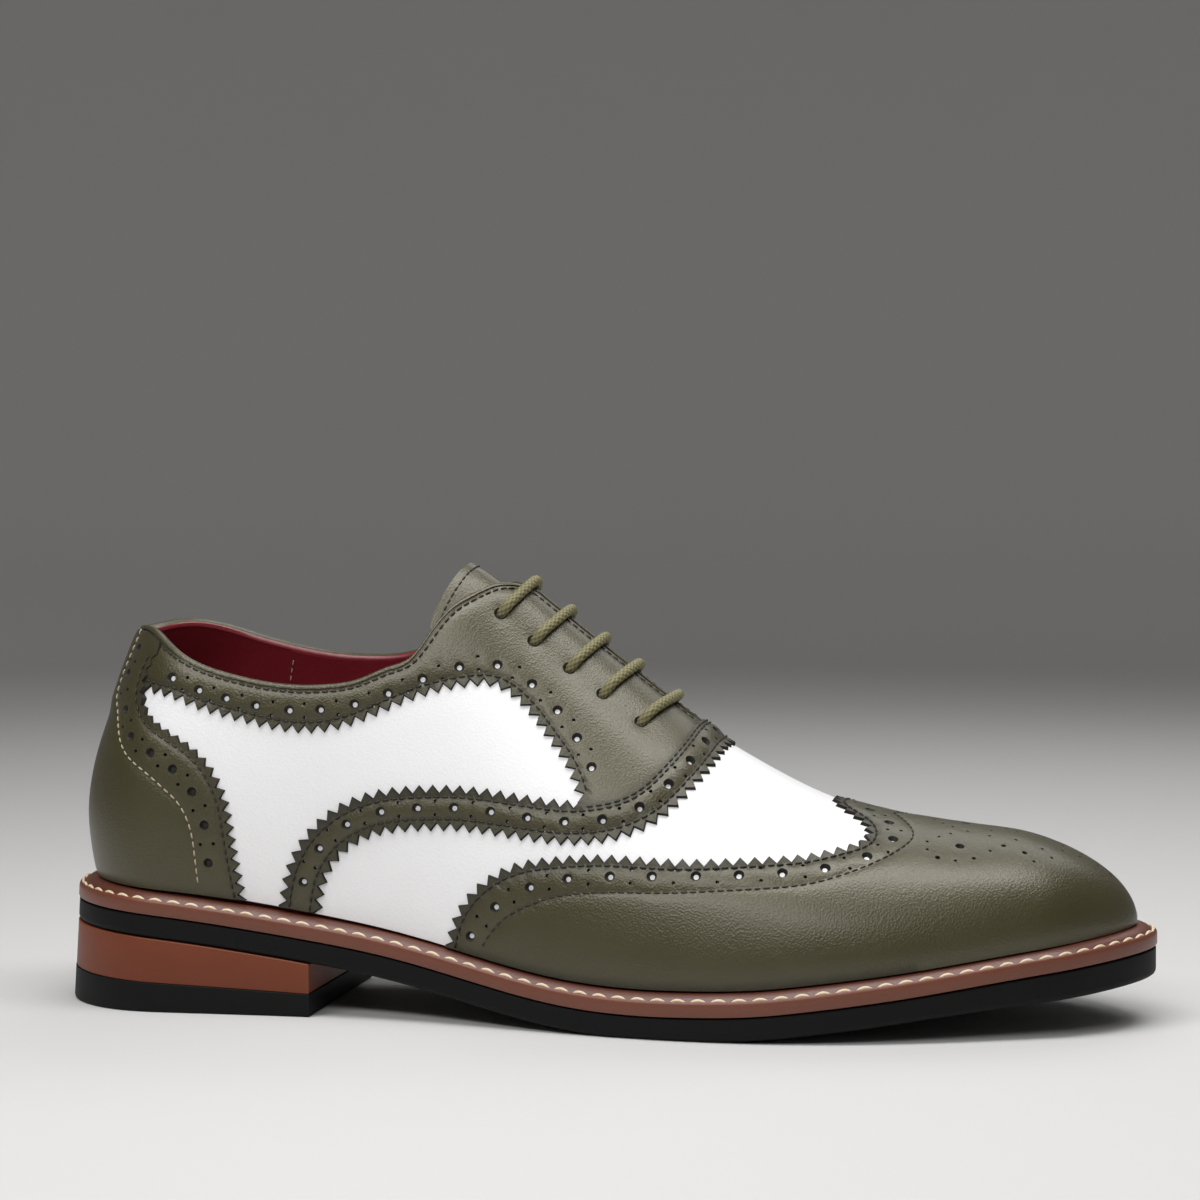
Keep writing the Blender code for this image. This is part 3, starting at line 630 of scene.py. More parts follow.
def flat_mesh(chart, rings, holes, seams, dense):
    """A sheet's points and faces in the flat map: its rings, rows along its seams, a field between."""
    edge = rings[0]
    lines, start = [], 0
    for ring in rings:
        n = len(ring)
        lines += [(start + k, start + (k + 1) % n) for k in range(n)]
        start += n
    rows = np.concatenate([offset(chart, evened(chart, seam, SEAM_STEP), side)
                           for seam in seams for side in (-ROWS_APART, 0, ROWS_APART)])
    us = np.arange(edge[:, 0].min(), edge[:, 0].max(), FIELD_STEP * 0.866)
    vs = np.arange(edge[:, 1].min(), edge[:, 1].max(), FIELD_STEP)
    field = np.stack(np.meshgrid(us, vs, indexing="ij"), axis=-1)
    field[::2, :, 1] += FIELD_STEP / 2
    field = field.reshape(-1, 2)
    loose = np.concatenate([rows, field[nearest(field, rows) > ROW_GAP]])
    loose = loose[inside(loose, edge)]
    loose = loose[nearest(loose, dense) > EDGE_GAP]
    for centre, radius in holes:
        loose = loose[np.linalg.norm(loose - centre, axis=1) > radius * 1.05]
    everything = np.concatenate(rings + [loose])
    verts, _, faces, *_ = delaunay_2d_cdt([tuple(p) for p in everything], lines, [], 0, 1e-6)
    flat, faces = np.array([tuple(v) for v in verts]), np.array([list(f) for f in faces])
    middle = flat[faces].mean(axis=1)
    keep = inside(middle, edge)
    for ring in rings[1:]:
        near = np.linalg.norm(middle - ring.mean(axis=0), axis=1) < 4
        near[near] = inside(middle[near], ring)
        keep &= ~near
    faces = faces[keep]
    a, b, c = flat[faces].transpose(1, 2, 0)
    turned = (b[0] - a[0]) * (c[1] - a[1]) - (b[1] - a[1]) * (c[0] - a[0]) < 0
    faces[turned] = faces[turned][:, ::-1]
    used, faces = np.unique(faces, return_inverse=True)
    return flat[used], faces.reshape(-1, 3)


def cut_sheet(solid, chart, edge, holes, seams, high, dark):
    """Leather cut along an edge in the flat map, with punched holes, sewn down along its seams.

    high and dark are functions of the plane's points, dark being how much the edge is darkened,
    partly burnish and partly painted shade; holes are (centre, radius) and narrow toward the
    bottom; seams are paths.
    """
    rings = [edge] + [circle(chart, np.asarray(c, float), r, 18 if r > 1 else 9) for c, r in holes]
    dense = np.concatenate([thirds(ring) for ring in rings])
    flat, faces = flat_mesh(chart, rings, holes, seams, dense)
    seam_points = np.concatenate([real(chart, evened(chart, seam, 0.5)) for seam in seams])
    sewn = nearest(real(chart, flat), seam_points)
    rim = nearest(flat, dense[:3 * len(edge)])
    bored = nearest(flat, dense[3 * len(edge):])
    lift = high(flat) - SEAM_DROP * bell(sewn, SEAM_REACH) + PUFF * (1 - bell(sewn, PUFF_REACH))
    lift = lift - EDGE_DROP * bell(rim, EDGE_REACH) - HOLE_DROP * bell(bored, HOLE_REACH)
    under = flat.copy()
    centres = np.array([c for c, _ in holes])
    on_ring = np.nonzero(bored < 1e-4)[0]
    under[on_ring] += HOLE_TAPER * (centres[nearest_of(flat[on_ring], centres)[0]] - flat[on_ring])
    # The knife's cut leans out, so that its dark side shows all round the teeth
    flares = [offset(chart, edge, sign * EDGE_FLARE) for sign in (1, -1)]
    flare = max(flares, key=lambda path: (~inside(path, edge)).sum())
    on_edge = np.nonzero(rim < 1e-4)[0]
    under[on_edge] += (flare - edge)[nearest_of(flat[on_edge], edge)[0]]
    # Darkening toward the cut edge: partly burnished leather, partly painted shade that makes the teeth
    # read dark
    burnish_and_painted_shade = bell(rim, BURNISH_AND_SHADE_REACH) * dark(flat)
    points, whole, kinds = closed(real(chart, flat, lift), real(chart, under, LOW), faces.tolist())
    piece(solid + "_leather", "overlay_olive", points, whole, [olive, cut_edge_and_shade], solid, kinds=kinds,
          sharp=35, burnish_and_painted_shade=np.concatenate([burnish_and_painted_shade, burnish_and_painted_shade]))


def raised(grid, lift):
    """Real points over a grid of (x, q)."""
    return on_skin(grid[..., 0], grid[..., 1], np.full(grid.shape[:2], lift)).reshape(-1, 3)


def grid_sheet(name, slot, grids, layer, material, *nodes):
    """A closed solid over grids of (x, q), from a layer's underside to its top."""
    low, high = layer
    top, faces = joined([(raised(grid, high), quads(*grid.shape[:2])) for grid in grids])
    (top, bottom), faces = weld([top, np.concatenate([raised(grid, low) for grid in grids])], faces)
    piece(name, slot, *closed(top, bottom, faces)[:2], [material], *nodes)


def cells(x, q):
    return np.stack(np.broadcast_arrays(x, q), axis=-1)


def both(make):
    """The lateral grid, and the medial one turned to face out as it does."""
    return [make(-1), make(1)[:, ::-1]]


# Painted shade: a dark strip under holes, so that they read dark
def shade_strip(name, chart, path, half):
    """A thin dark strip under a row of holes."""
    path = resample(chart, path, max(8, int(length_of(chart, path) / 2)))
    lines = [cells(*chart.surface(offset(chart, path, side * half))) for side in (1, 0.33, -0.33, -1)]
    grid_sheet(name, "overlay_olive", [np.stack(lines, axis=1)], SHADE_STRIP_LAYER, cut_edge_and_shade)


def row_holes(chart, path, marks, big=BIG_HOLE):
    """Broguing along a path: large holes at the marks, and a pair of small ones between every two.

    marks is rows of the plane's points, or (count, first, last) for an even pitch.
    """
    run = run_of(real(chart, path))
    if isinstance(marks, tuple):
        count, first, last = marks
        large = np.linspace(first, run[-1] - last, count)
    else:
        large = np.array([run[np.linalg.norm(path - mark, axis=1).argmin()] for mark in marks])
    between = (large[1:] + large[:-1]) / 2
    middle = at_run(between, run, path)
    ahead, behind = (real(chart, at_run(between + step, run, path)) for step in (0.5, -0.5))
    square = np.cross(normals(chart, middle), unit(ahead - behind))
    holes = [(p, big) for p in at_run(large, run, path)]
    for side in (-PAIR_APART, PAIR_APART):
        holes += [(p, SMALL_HOLE) for p in middle + flat_step(chart, middle, square * side)]
    return holes


# A stitch: the places of its rings from end to end, and their widths
STITCH_PITCH = 2.4
STITCH_PLACES = np.array([-1.0, -0.82, -0.3, 0.3, 0.82, 1.0])[:, None]
STITCH_WIDTHS = np.array([0.25, 0.8, 1.0, 1.0, 0.8, 0.25])[:, None]


def stitches(name, chart, paths, lift, slot="overlay_olive", thread=None, length=1.85, radius=0.27):
    """Short threads that dip at both ends, joined in one mesh."""
    threads = []
    for path in paths:
        even = resample(chart, path, max(2, int(length_of(chart, path) / STITCH_PITCH)) + 1)
        mid = (even[1:] + even[:-1]) / 2
        centre = real(chart, mid, lift(mid) if callable(lift) else lift)
        tangent = unit(real(chart, even[1:]) - real(chart, even[:-1]))
        for c, t, n in zip(centre, tangent, normals(chart, mid)):
            line = c + t * STITCH_PLACES * length / 2 - n * radius * 0.9 * STITCH_PLACES ** 4
            threads.append(tube(line, np.cross(n, t), n, radius * STITCH_WIDTHS * np.ones(6)))
    piece(name + "stitches", slot, *joined(threads), [thread or thread_dark], sharp=None)

# Finishes

def principled(name, color, roughness, **values):
    material = bpy.data.materials.new(name)
    material.use_nodes = True
    shader = material.node_tree.nodes["Principled BSDF"]
    shader.inputs["Base Color"].default_value = (*color, 1)
    shader.inputs["Roughness"].default_value = roughness
    for socket, value in values.items():
        shader.inputs[socket.replace("_", " ")].default_value = value
    return material, shader


def node(tree, kind, links=(), output=0, **values):
    """The output of a new node, fed by links: a socket or a constant, and the input it goes to."""
    made = tree.nodes.new(kind)
    for key, value in values.items():
        if hasattr(made, key):
            setattr(made, key, value)
        else:
            made.inputs[key.replace("_", " ")].default_value = value
    for source, socket in links:
        if isinstance(source, bpy.types.NodeSocket):
            tree.links.new(source, made.inputs[socket])
        else:
            made.inputs[socket].default_value = source
    return made.outputs[output]


def leather(name, color, roughness, pores=1150, depth=0.05, vary=0.12, coat=0.12, specular=0.5,
            tint=(1, 1, 1)):
    """Full-grain leather: pores and fine creases in the bump, slow change of tone, a coat of polish."""
    material, shader = principled(name, color, roughness, Coat_Weight=coat, Coat_Roughness=0.28,
                                  Specular_IOR_Level=specular, Specular_Tint=(*tint, 1))
    tree = material.node_tree
    place = (node(tree, "ShaderNodeTexCoord", output="Object"), "Vector")
    cells = node(tree, "ShaderNodeTexVoronoi", [place], Scale=pores)
    fine = node(tree, "ShaderNodeTexNoise", [place], Scale=pores * 1.6, Detail=1.0)
    broad = (node(tree, "ShaderNodeTexNoise", [place], Scale=60.0, Detail=4.0), "Value")
    # The burnish_and_painted_shade attribute darkens the colour and dulls the shine: burnish and painted
    # shade at the overlays' edges, painted shade in the lace's braid
    darkening = node(tree, "ShaderNodeAttribute", output="Fac", attribute_name="burnish_and_painted_shade")
    grain = node(tree, "ShaderNodeMath", [(fine, 0), (0.35, 1), (cells, 2)], operation="MULTIPLY_ADD")
    bump = node(tree, "ShaderNodeBump", [(grain, "Height")], Strength=0.8, Distance=depth * MM)
    tone = node(tree, "ShaderNodeMapRange", [broad], To_Min=1 - vary, To_Max=1 + vary)
    tinted = node(tree, "ShaderNodeVectorMath", [(color, 0), (tone, 1)], operation="MULTIPLY")
    kept = node(tree, "ShaderNodeMapRange", [(darkening, "Value")], To_Min=1.0, To_Max=0.12)
    shaded = node(tree, "ShaderNodeVectorMath", [(tinted, 0), (kept, 1)], operation="MULTIPLY")
    shine = node(tree, "ShaderNodeMapRange", [broad], To_Min=roughness - 0.05, To_Max=roughness + 0.05)
    dull = node(tree, "ShaderNodeMath", [(darkening, 0), (0.35, 1), (shine, 2)], operation="MULTIPLY_ADD")
    for source, socket in ((bump, "Normal"), (shaded, "Base Color"), (dull, "Roughness")):
        tree.links.new(source, shader.inputs[socket])
    return material


OLIVE = (0.037, 0.0330, 0.0100)
WHITE = (0.86, 0.855, 0.86)
TAN = (0.15, 0.042, 0.020)
HEEL_TAN = (0.175, 0.040, 0.014)
BURGUNDY = (0.17, 0.012, 0.018)
BLACK = (0.003, 0.003, 0.003)
LACE_COLOR = (0.25, 0.225, 0.105)

white = leather("white_leather", WHITE, 0.45, pores=1300, vary=0.015, coat=0.06)
olive = leather("olive_leather", OLIVE, 0.40, pores=1650, depth=0.10, vary=0.14, coat=0.25,
                specular=0.75, tint=(1.0, 0.94, 0.80))
# Dark cut edges of the leather, and the same dark for the sheets of painted shade under holes and along the
# slit
cut_edge_and_shade = leather("cut_edge_and_shade", (0.012, 0.011, 0.007), 0.6, vary=0.2, coat=0.0)
burgundy = leather("burgundy_lining", BURGUNDY, 0.34, pores=700, coat=0.25)
thread_dark = leather("dark_thread", (0.018, 0.016, 0.010), 0.55, vary=0.2, coat=0.0)
thread_pale = leather("pale_thread", (0.42, 0.36, 0.25), 0.55, vary=0.1, coat=0.0)
thread_cream = leather("cream_thread", (0.78, 0.62, 0.42), 0.5, vary=0.1, coat=0.0)
tan = leather("tan_welt", TAN, 0.42, pores=1600, depth=0.03, coat=0.1)
tan_heel = leather("tan_heel", HEEL_TAN, 0.5, pores=1600, depth=0.03, coat=0.03, specular=0.3)
rubber = leather("black_rubber", BLACK, 0.6, pores=1900, depth=0.02, vary=0.2, coat=0.0, specular=0.2)
tan_dark = leather("burnished_welt", (0.105, 0.030, 0.016), 0.40, pores=1600, depth=0.03, vary=0.15,
                   coat=0.1)
cord = leather("waxed_cord", LACE_COLOR, 0.5, pores=2600, vary=0.15, coat=0.05)

# Rows of punching and sewing, by length and height up the wall
CREASES = [
    # at, up, slope, reach, width, depth
    (0.655, 0.60, 0.30, 26.0, 5.0, -0.10),
    (0.700, 0.52, 0.20, 22.0, 5.5, -0.08),
]
WING_HOLES = [
    # at, up
    (0.4075, 0.047), (0.431, 0.136), (0.4625, 0.210), (0.497, 0.261), (0.534, 0.296),
    (0.572, 0.325), (0.6095, 0.351), (0.647, 0.376), (0.683, 0.403), (0.719, 0.444),
    (0.7515, 0.521), (0.7725, 0.656), (0.767, 0.800), (0.7465, 0.929), (0.738, 1.000),
]
WING_SEAM = [
    # at, up
    (0.4180, 0.029), (0.4315, 0.090), (0.4555, 0.154), (0.489, 0.211), (0.5165, 0.240),
    (0.565, 0.273), (0.6185, 0.307), (0.670, 0.340), (0.7085, 0.374), (0.746, 0.453),
    (0.766, 0.521), (0.7825, 0.615), (0.789, 0.700), (0.784, 0.820), (0.7745, 0.920),
    (0.766, 1.000),
]
FACING_HOLES = [
    # at, up
    (0.0745, 0.519), (0.1085, 0.493), (0.144, 0.477), (0.181, 0.465), (0.2185, 0.462),
    (0.2545, 0.473), (0.290, 0.497), (0.323, 0.538), (0.355, 0.593), (0.3865, 0.653),
    (0.4195, 0.708), (0.450, 0.715), (0.4745, 0.686), (0.4945, 0.639), (0.510, 0.576),
]
COUNTER_HOLES = [
    # at, up
    (0.0210, 0.600), (0.0207, 0.536), (0.0318, 0.442), (0.051, 0.371), (0.0787, 0.334),
    (0.106, 0.299), (0.130, 0.248), (0.144, 0.175), (0.1452, 0.085),
]
COUNTER_SEAM = [
    # at, up
    (0.0125, 0.660), (0.0125, 0.579), (0.0130, 0.500), (0.024, 0.423), (0.039, 0.360),
    (0.0525, 0.325), (0.070, 0.298), (0.088, 0.272), (0.100, 0.251), (0.1125, 0.230),
    (0.1235, 0.198), (0.130, 0.159), (0.132, 0.113), (0.1315, 0.030),
]

# Vamp and quarters: one white shell, with the burgundy lining inside it
SHOE_STATIONS = x_of(stretches(
    [HEEL_START, HEEL_ROUND, COLLAR_RISE, COLLAR_END, THROAT_X, TOE_START, TOE_END - 0.05],
    (30, 48, 40, 32, 52, 30)))


def half_walls(foot, rows=64, short=0.25):
    """A grid up each side, ending short of the topline by some millimetres where it is open."""
    def half_wall(side):
        short_of = np.where(SHOE_STATIONS < THROAT_X, short / wide(SHOE_STATIONS), 0)
        high = (tops(SHOE_STATIONS, side) - short_of - foot)[:, None]
        return cells(SHOE_STATIONS[:, None], q_of(foot + high * np.linspace(0, 1, rows), side))
    return both(half_wall)


# Undersides and tops of the layers, from the last's surface
SHELL, LINING, LAP, FACING_SHADE_SHEET = (-1.3, -0.05), (-2.3, -1.32), (-2.75, -2.28), (-2.6, -2.28)
TONGUE, SHADE_STRIP_LAYER = (-4.9, -3.5), (0.0, 0.12)
grid_sheet("vamp_and_quarters", "upper_white", half_walls(0.004), SHELL, white, "upper")
grid_sheet("lining", "insole_lining", half_walls(0.02, 48, 0.8), LINING, burgundy)

# The front lining laps over the heel's, sewn down along its edge
LAP_X = 0.145 * LENGTH
in_lap = (SHOE_STATIONS > LAP_X) & (SHOE_STATIONS < 0.98 * COLLAR_END)
lap = [grid[in_lap] for grid in half_walls(0.10, 40, 0.9)]
grid_sheet("front_lining", "insole_lining", lap, LAP, burgundy)
in_slit = SHOE_STATIONS[(SHOE_STATIONS > COLLAR_END) & (SHOE_STATIONS < THROAT_X)]


# Painted shade inside the facings along the slit: a dark sheet where the lining lies in shadow, from 9 mm
# to 0.2 mm below the edge
def slit_grid(side):
    drops = np.array([9.0, 6.0, 3.0, 0.2]) / wide(in_slit)[:, None]
    return cells(in_slit[:, None], q_of(tops(in_slit, side)[:, None] - drops, side))


grid_sheet("facing_shade_sheet", "tongue_olive", both(slit_grid), FACING_SHADE_SHEET, cut_edge_and_shade)
SEWN_X = LAP_X + 0.009 * LENGTH
lap_rows = [Front.plane(SEWN_X, q_of(np.linspace(0.12, top_of(LAP_X, side) - 0.03, 30), side))
            for side in (-1, 1)]

# Winged toe cap
FEET = 0.004
WING_PITCH, WING_SEWN, NOSE_IN = 3.85, 1.75, 0.15
wing_ups = stretches([FEET, 0.5, 1], (40, 40))
wing_path = mirrored(Front.plane(wing_at(wing_ups), wing_ups - 1))
wing_teeth = pinked(Front, wing_path, WING_PITCH)
foot_xs = x_of(np.linspace(along_of(wing_at(FEET)) + 3, TOE_END - NOSE_IN, 90))
lateral_foot = Front.plane(foot_xs, -1 + FEET)
medial_foot = Front.plane(foot_xs, 1 - FEET)
nose = cells(TOE_END - NOSE_IN, np.linspace(1 - FEET, -1 + FEET, 24) * wide(TOE_X))
cap_edge = np.concatenate([wing_teeth, medial_foot, nose[1:-1], lateral_foot[::-1]])
wing_row = mirrored(curve(Front, WING_HOLES, -1))
wing_seam = mirrored(curve(Front, WING_SEAM, -1))
wing_sewn = offset(Front, resample(Front, wing_path, 200), -WING_SEWN)

# The toe's punched figure: forward and sideways of its middle, in millimetres, each dot also on the
# other side
MEDALLION = 0.833
MEDALLION_AXIS = [
    # at, across
    (0.790, -0.180), (0.833, -0.165), (0.900, -0.110), (0.970, -0.050),
]
FIGURE = [
    # forward, sideways, radius
    (-0.6, 10.1, 1.25), (10.5, 8.6, 0.7), (16.3, 11.2, 0.7), (-5.6, 16.4, 0.7),
    (0.6, 0.0, 0.45), (-3.6, 3.0, 0.45), (-6.4, 5.8, 0.45), (-9.1, 9.4, 0.45),
    (-8.6, 13.3, 0.45), (-1.0, 17.0, 0.45), (3.5, 15.5, 0.55), (7.3, 11.6, 0.45),
    (6.6, 2.6, 0.45), (13.5, 4.2, 0.45), (20.5, 6.9, 0.45), (19.2, 14.5, 0.45),
    (23.3, 10.6, 0.45), (25.5, 3.0, 0.45), (30.0, 1.6, 0.45), (34.5, 0.0, 0.45),
    (38.0, 1.4, 0.45),
]
FIGURE_STEPS = 12
medallion_axis = spline(*zip(*MEDALLION_AXIS))


def figure_holes():
    """The figure's dots, walked out sideways over the surface from its axis."""
    holes = []
    for forward, sideways, radius in FIGURE:
        x = MEDALLION * LENGTH + forward
        start = np.array(Front.plane(x, float(medallion_axis(x / LENGTH))))
        across = np.cross(normals(Front, start), unit(slopes(Front, start)[0]))
        for side in (-1, 1) if sideways else (1,):
            p = start.copy()
            for _ in range(FIGURE_STEPS):
                p = p + flat_step(Front, p, side * sideways * across / FIGURE_STEPS)
            holes.append((p, radius))
    return holes


wing_marks = np.concatenate([at_rows(Front, WING_HOLES[:-1], -1), at_rows(Front, WING_HOLES[-2::-1], 1)])
cap_holes = row_holes(Front, wing_row, wing_marks) + figure_holes()
# The wing's edge is darkened with burnish and painted shade; the edge along the sole is not
cut_sheet("toe_cap", Front, cap_edge, cap_holes, [wing_sewn, wing_seam], lambda p: HIGH,
          lambda p: np.where(p[:, 0] < 0.80 * LENGTH, 0.75, 0.0))
stitches("lining_", Front, lap_rows, LAP[0] - 0.03, "insole_lining", thread_pale, 1.5, 0.2)

# Facings with the collar band, and how far in from their edges they are sewn
FACING_BACK = 0.030
FACING_SEWN, RIM_SEWN, SLIT_SEWN = 1.7, 1.6, 2.6
EYELET_RADIUS = 1.9


def rise_of(chart, p):
    """Height up the wall."""
    return 1 - np.abs(chart.surface(p)[1])


def topline(xs, side):
    """A side's upper edge over xs, on the lateral half of the flat map."""
    return Front.plane(xs, tops(xs, side) - 1)


# The facing's edge is darkened with burnish and painted shade, except within 4 mm of its upper edge
def facing_dark(p):
    x, q = Front.surface(p)
    edge = np.array([top_of(at, -1 if side < 0 else 1) for at, side in zip(x, q)])
    return 0.45 * smooth(((edge - (1 - np.abs(q))) * wide(x) - 4) / 4)


lower = curve(Front, [(FACING_BACK, 0.512)] + FACING_EDGE + [(0.5065, 0.462)], -1)
teeth = pinked(Front, lower)
under = offset(Front, resample(Front, curve(Front, SIDE_BAND, -1), 160), 2.6)
x, q = Front.surface(under)
under = under[(x > 0.512 * LENGTH) & (q > -0.55) & (x < THROAT_X)]
top_xs = stretches([FACING_BACK * LENGTH, COLLAR_RISE, COLLAR_END, Front.surface(under[-1:])[0][0]],
                   (60, 70, 40))
rim_xs = stretches([0.05 * LENGTH, COLLAR_RISE, 0.423 * LENGTH], (60, 60))
slit_xs = np.linspace(0.435 * LENGTH, THROAT_X - 2, 50)
for side, name in ((-1, "facing_lateral"), (1, "facing_medial")):
    flip = np.array([1, -side])
    edge = np.concatenate([teeth, under[1:], topline(top_xs, side)[::-1]]) * flip
    holes = row_holes(Front, curve(Front, FACING_HOLES, -1) * flip, at_rows(Front, FACING_HOLES, side))
    sewn = offset(Front, resample(Front, lower, 160)[2:-4], FACING_SEWN) * flip
    rim = offset(Front, topline(rim_xs, side), -RIM_SEWN)
    slit = offset(Front, topline(slit_xs, side), -SLIT_SEWN)
    rim_path = resample(Front, np.concatenate([rim, slit]), 240) * flip
    eyes = [(Front.plane(at * LENGTH, side * (1 - up)), EYELET_RADIUS) for at, up, _ in EYELETS]
    cut_sheet(name, Front, edge, holes + eyes, [sewn, rim_path], lambda p: HIGH - 0.05, facing_dark)
    stitches(name + "_", Front, [sewn, rim_path], HIGH - 0.15)

# Painted shade inside the lace holes: dark strips under them
eyes = at_rows(Front, [row[:2] for row in EYELETS], -1)
eyes = np.concatenate([1.35 * eyes[:1] - 0.35 * eyes[1:2], eyes, 1.35 * eyes[-1:] - 0.35 * eyes[-2:-1]])
shade_strip("eyelet_hole_shade_lateral", Front, eyes, 3.0)
shade_strip("eyelet_hole_shade_medial", Front, eyes * (1, -1), 3.0)
stitches("toe_cap_", Front, [wing_sewn, wing_seam], HIGH - 0.1)

# Side band, over the ends of the facings
BAND_TEETH, BAND_SEWN, SECOND_SEWN = 4.85, 2.95, 4.0
BAND_HOLES, BAND_ENDS = 29, 8.0
band_path = mirrored(curve(Front, SIDE_BAND, -1))
band_fine = resample(Front, band_path, 400)


def over_facing(p, start, reach, low, rise):
    """How far a point is in the stretch where the band lies over the facing."""
    x = Front.surface(p)[0]
    return smooth((x - start * LENGTH) / reach) * smooth((rise_of(Front, p) - low) / rise)


def on_facing(p):
    return over_facing(p, 0.500, 4, 0.42, 0.03)


band_front = pinked(Front, offset(Front, band_fine, -BAND_TEETH))
band_rear = pinked(Front, offset(Front, band_fine, BAND_TEETH), depth=lambda p: 2.2 * (1 - on_facing(p)))
band_edge = np.concatenate([band_front, band_rear[::-1]])
band_seams = [offset(Front, band_fine, s * BAND_SEWN) for s in (-1, 1)]
second_seam = offset(Front, band_fine, SECOND_SEWN)
second_seam = second_seam[on_facing(second_seam) > 0.5]


def band_high(p):
    front, rear = (nearest(p, resample(Front, line, 400)) for line in (band_front, band_rear))
    share = smooth((front / (front + rear + 1e-9) - 0.2) / 0.5)
    return HIGH + OVER * over_facing(p, 0.485, 10, 0.36, 0.1) * share


# The band's edge is darkened with burnish and painted shade. Its rear, upper teeth get more painted shade,
# except where the band lies over the facing
def band_dark(p):
    at_rear = nearest(p, band_rear[::2]) < nearest(p, band_front[::2])
    return 0.55 + 0.35 * at_rear * (1 - on_facing(p))


band_holes = row_holes(Front, band_path, (BAND_HOLES, BAND_ENDS, BAND_ENDS))
cut_sheet("side_band", Front, band_edge, band_holes, band_seams, band_high, band_dark)
stitches("side_band_", Front, band_seams + [second_seam], lambda p: band_high(p) - 0.1)


# Heel counter with its strap, round the back
COUNTER_PITCH, COUNTER_SEWN = 3.5, 1.9


def counter_high(p):
    return HIGH + OVER * smooth((rise_of(Back, p) - 0.43) / 0.05)


def counter_teeth(p):
    return 1.2 + 0.9 * smooth((0.42 - rise_of(Back, p)) / 0.2)


counter_ups = np.linspace(FEET, 0.672, 60)
counter_line = Back.plane(counter_at(counter_ups), 1 - counter_ups)


def heel_edge(side):
    """One side's cut edge, from the feather to the topline and along it to the middle, and its seam."""
    line = counter_line[counter_ups < tops(Back.surface(counter_line)[0], side) - 0.035]
    xs = x_of(np.linspace(along_of(Back.surface(line[-1:])[0][0]), HEEL_START, 24)[:-1])
    teeth = pinked(Back, line, COUNTER_PITCH, counter_teeth)
    top = Back.plane(xs, 1 - (tops(xs, side) - 0.01))
    sewn = offset(Back, resample(Back, line * (side, 1), 120), -side * COUNTER_SEWN)[1:-2]
    return np.concatenate([foot_line[1:-1], teeth, top]) * (side, 1), sewn


foot_line = Back.plane(x_of(np.linspace(HEEL_START, along_of(counter_at(FEET)), 40)), 1 - FEET)
(medial_half, medial_sewn), (lateral_half, lateral_sewn) = heel_edge(1), heel_edge(-1)
middle_top = Back.plane([0.0], 1 - top_of(0.0, -1) + 0.01)
counter_edge = np.concatenate([medial_half, middle_top, lateral_half[::-1], foot_line[:1]])
counter_holes = []
for side, name in ((-1, "counter_hole_shade_lateral"), (1, "counter_hole_shade_medial")):
    row = curve(Back, COUNTER_HOLES, side)
    counter_holes += row_holes(Back, row, at_rows(Back, COUNTER_HOLES, side), big=1.35)
    # Painted shade inside the counter's holes: a dark strip under the row
    shade_strip(name, Back, np.concatenate([2 * row[:1] - row[3:4], row, 2 * row[-1:] - row[-4:-3]]), 2.3)
counter_seams = [curve(Back, COUNTER_SEAM, s) for s in (-1, 1)]
counter_sewn = [medial_sewn, lateral_sewn]
# The counter's edge is darkened a little with burnish and painted shade
cut_sheet("heel_counter", Back, counter_edge, counter_holes, counter_sewn + counter_seams, counter_high,
          lambda p: 0.3)
stitches("counter_", Back, counter_sewn, lambda p: counter_high(p) - 0.1)
stitches("counter_pale_", Back, counter_seams, lambda p: counter_high(p) - 0.06, thread=thread_pale,
         length=1.7, radius=0.24)


# Painted shade under the holes of the cap's figure: a dark sheet, so that they read dark
def figure_grid(side):
    xs = np.linspace(0.775 * LENGTH, 0.965 * LENGTH, 40)
    return cells(xs[:, None], q_of(np.linspace(0.36, 1.0, 24), side))


grid_sheet("figure_hole_shade", "overlay_olive", both(figure_grid), SHADE_STRIP_LAYER, cut_edge_and_shade)

# Rounded rim of the topline and the slit
RIM = [
    # lift, rise
    (1.12, -0.7), (1.15, -0.1), (0.95, 0.35), (0.3, 0.62), (-0.7, 0.62), (-1.7, 0.5), (-2.2, 0.15),
    (-2.42, -0.7),
]
COLLAR_COUNT, SLIT_COUNT = 170, 60
OLIVE_CORNERS, OLIVE_ROWS = 5, 156


def rim_of(side, first, last, count, thin):
    xs = x_of(np.linspace(along_of(first), along_of(last), count))
    ups = tops(xs, side)
    return np.stack([on_skin(xs, q_of(ups + rise * thin / wide(xs), side), np.full(count, lift))
                     for lift, rise in RIM], axis=1)


lateral, medial = (np.concatenate([rim_of(side, 0.0, COLLAR_END, COLLAR_COUNT, 1.0),
                                   rim_of(side, COLLAR_END, 0.585 * LENGTH, SLIT_COUNT, 0.35)[1:]])
                   for side in (-1, 1))
whole = np.concatenate([lateral[::-1], medial[1:]])
n, m = whole.shape[:2]
slit_rows = np.abs(np.arange(n - 1) + 1 - len(lateral)) > OLIVE_ROWS
kinds = [int(k >= OLIVE_CORNERS and not slit) for slit in slit_rows for k in range(m - 1)]
kinds += [int(not slit) for slit in slit_rows] + [0, 0]
faces = quads(n, m) + [[i * m + m - 1, i * m, (i + 1) * m, (i + 1) * m + m - 1] for i in range(n - 1)]
faces += [list(range(m))[::-1], list(range((n - 1) * m, n * m))]
piece("topline_rim", "overlay_olive", whole.reshape(-1, 3), faces, [olive, burgundy], kinds=kinds, sharp=60)

# Tongue
TONGUE_HALF = 0.31


def tongue_tip(q):
    across = np.abs(q) / TONGUE_HALF
    return 0.391 * LENGTH - 13.0 * (across ** 2 + 0.01) ** 0.45 + 5.0 * across ** 12


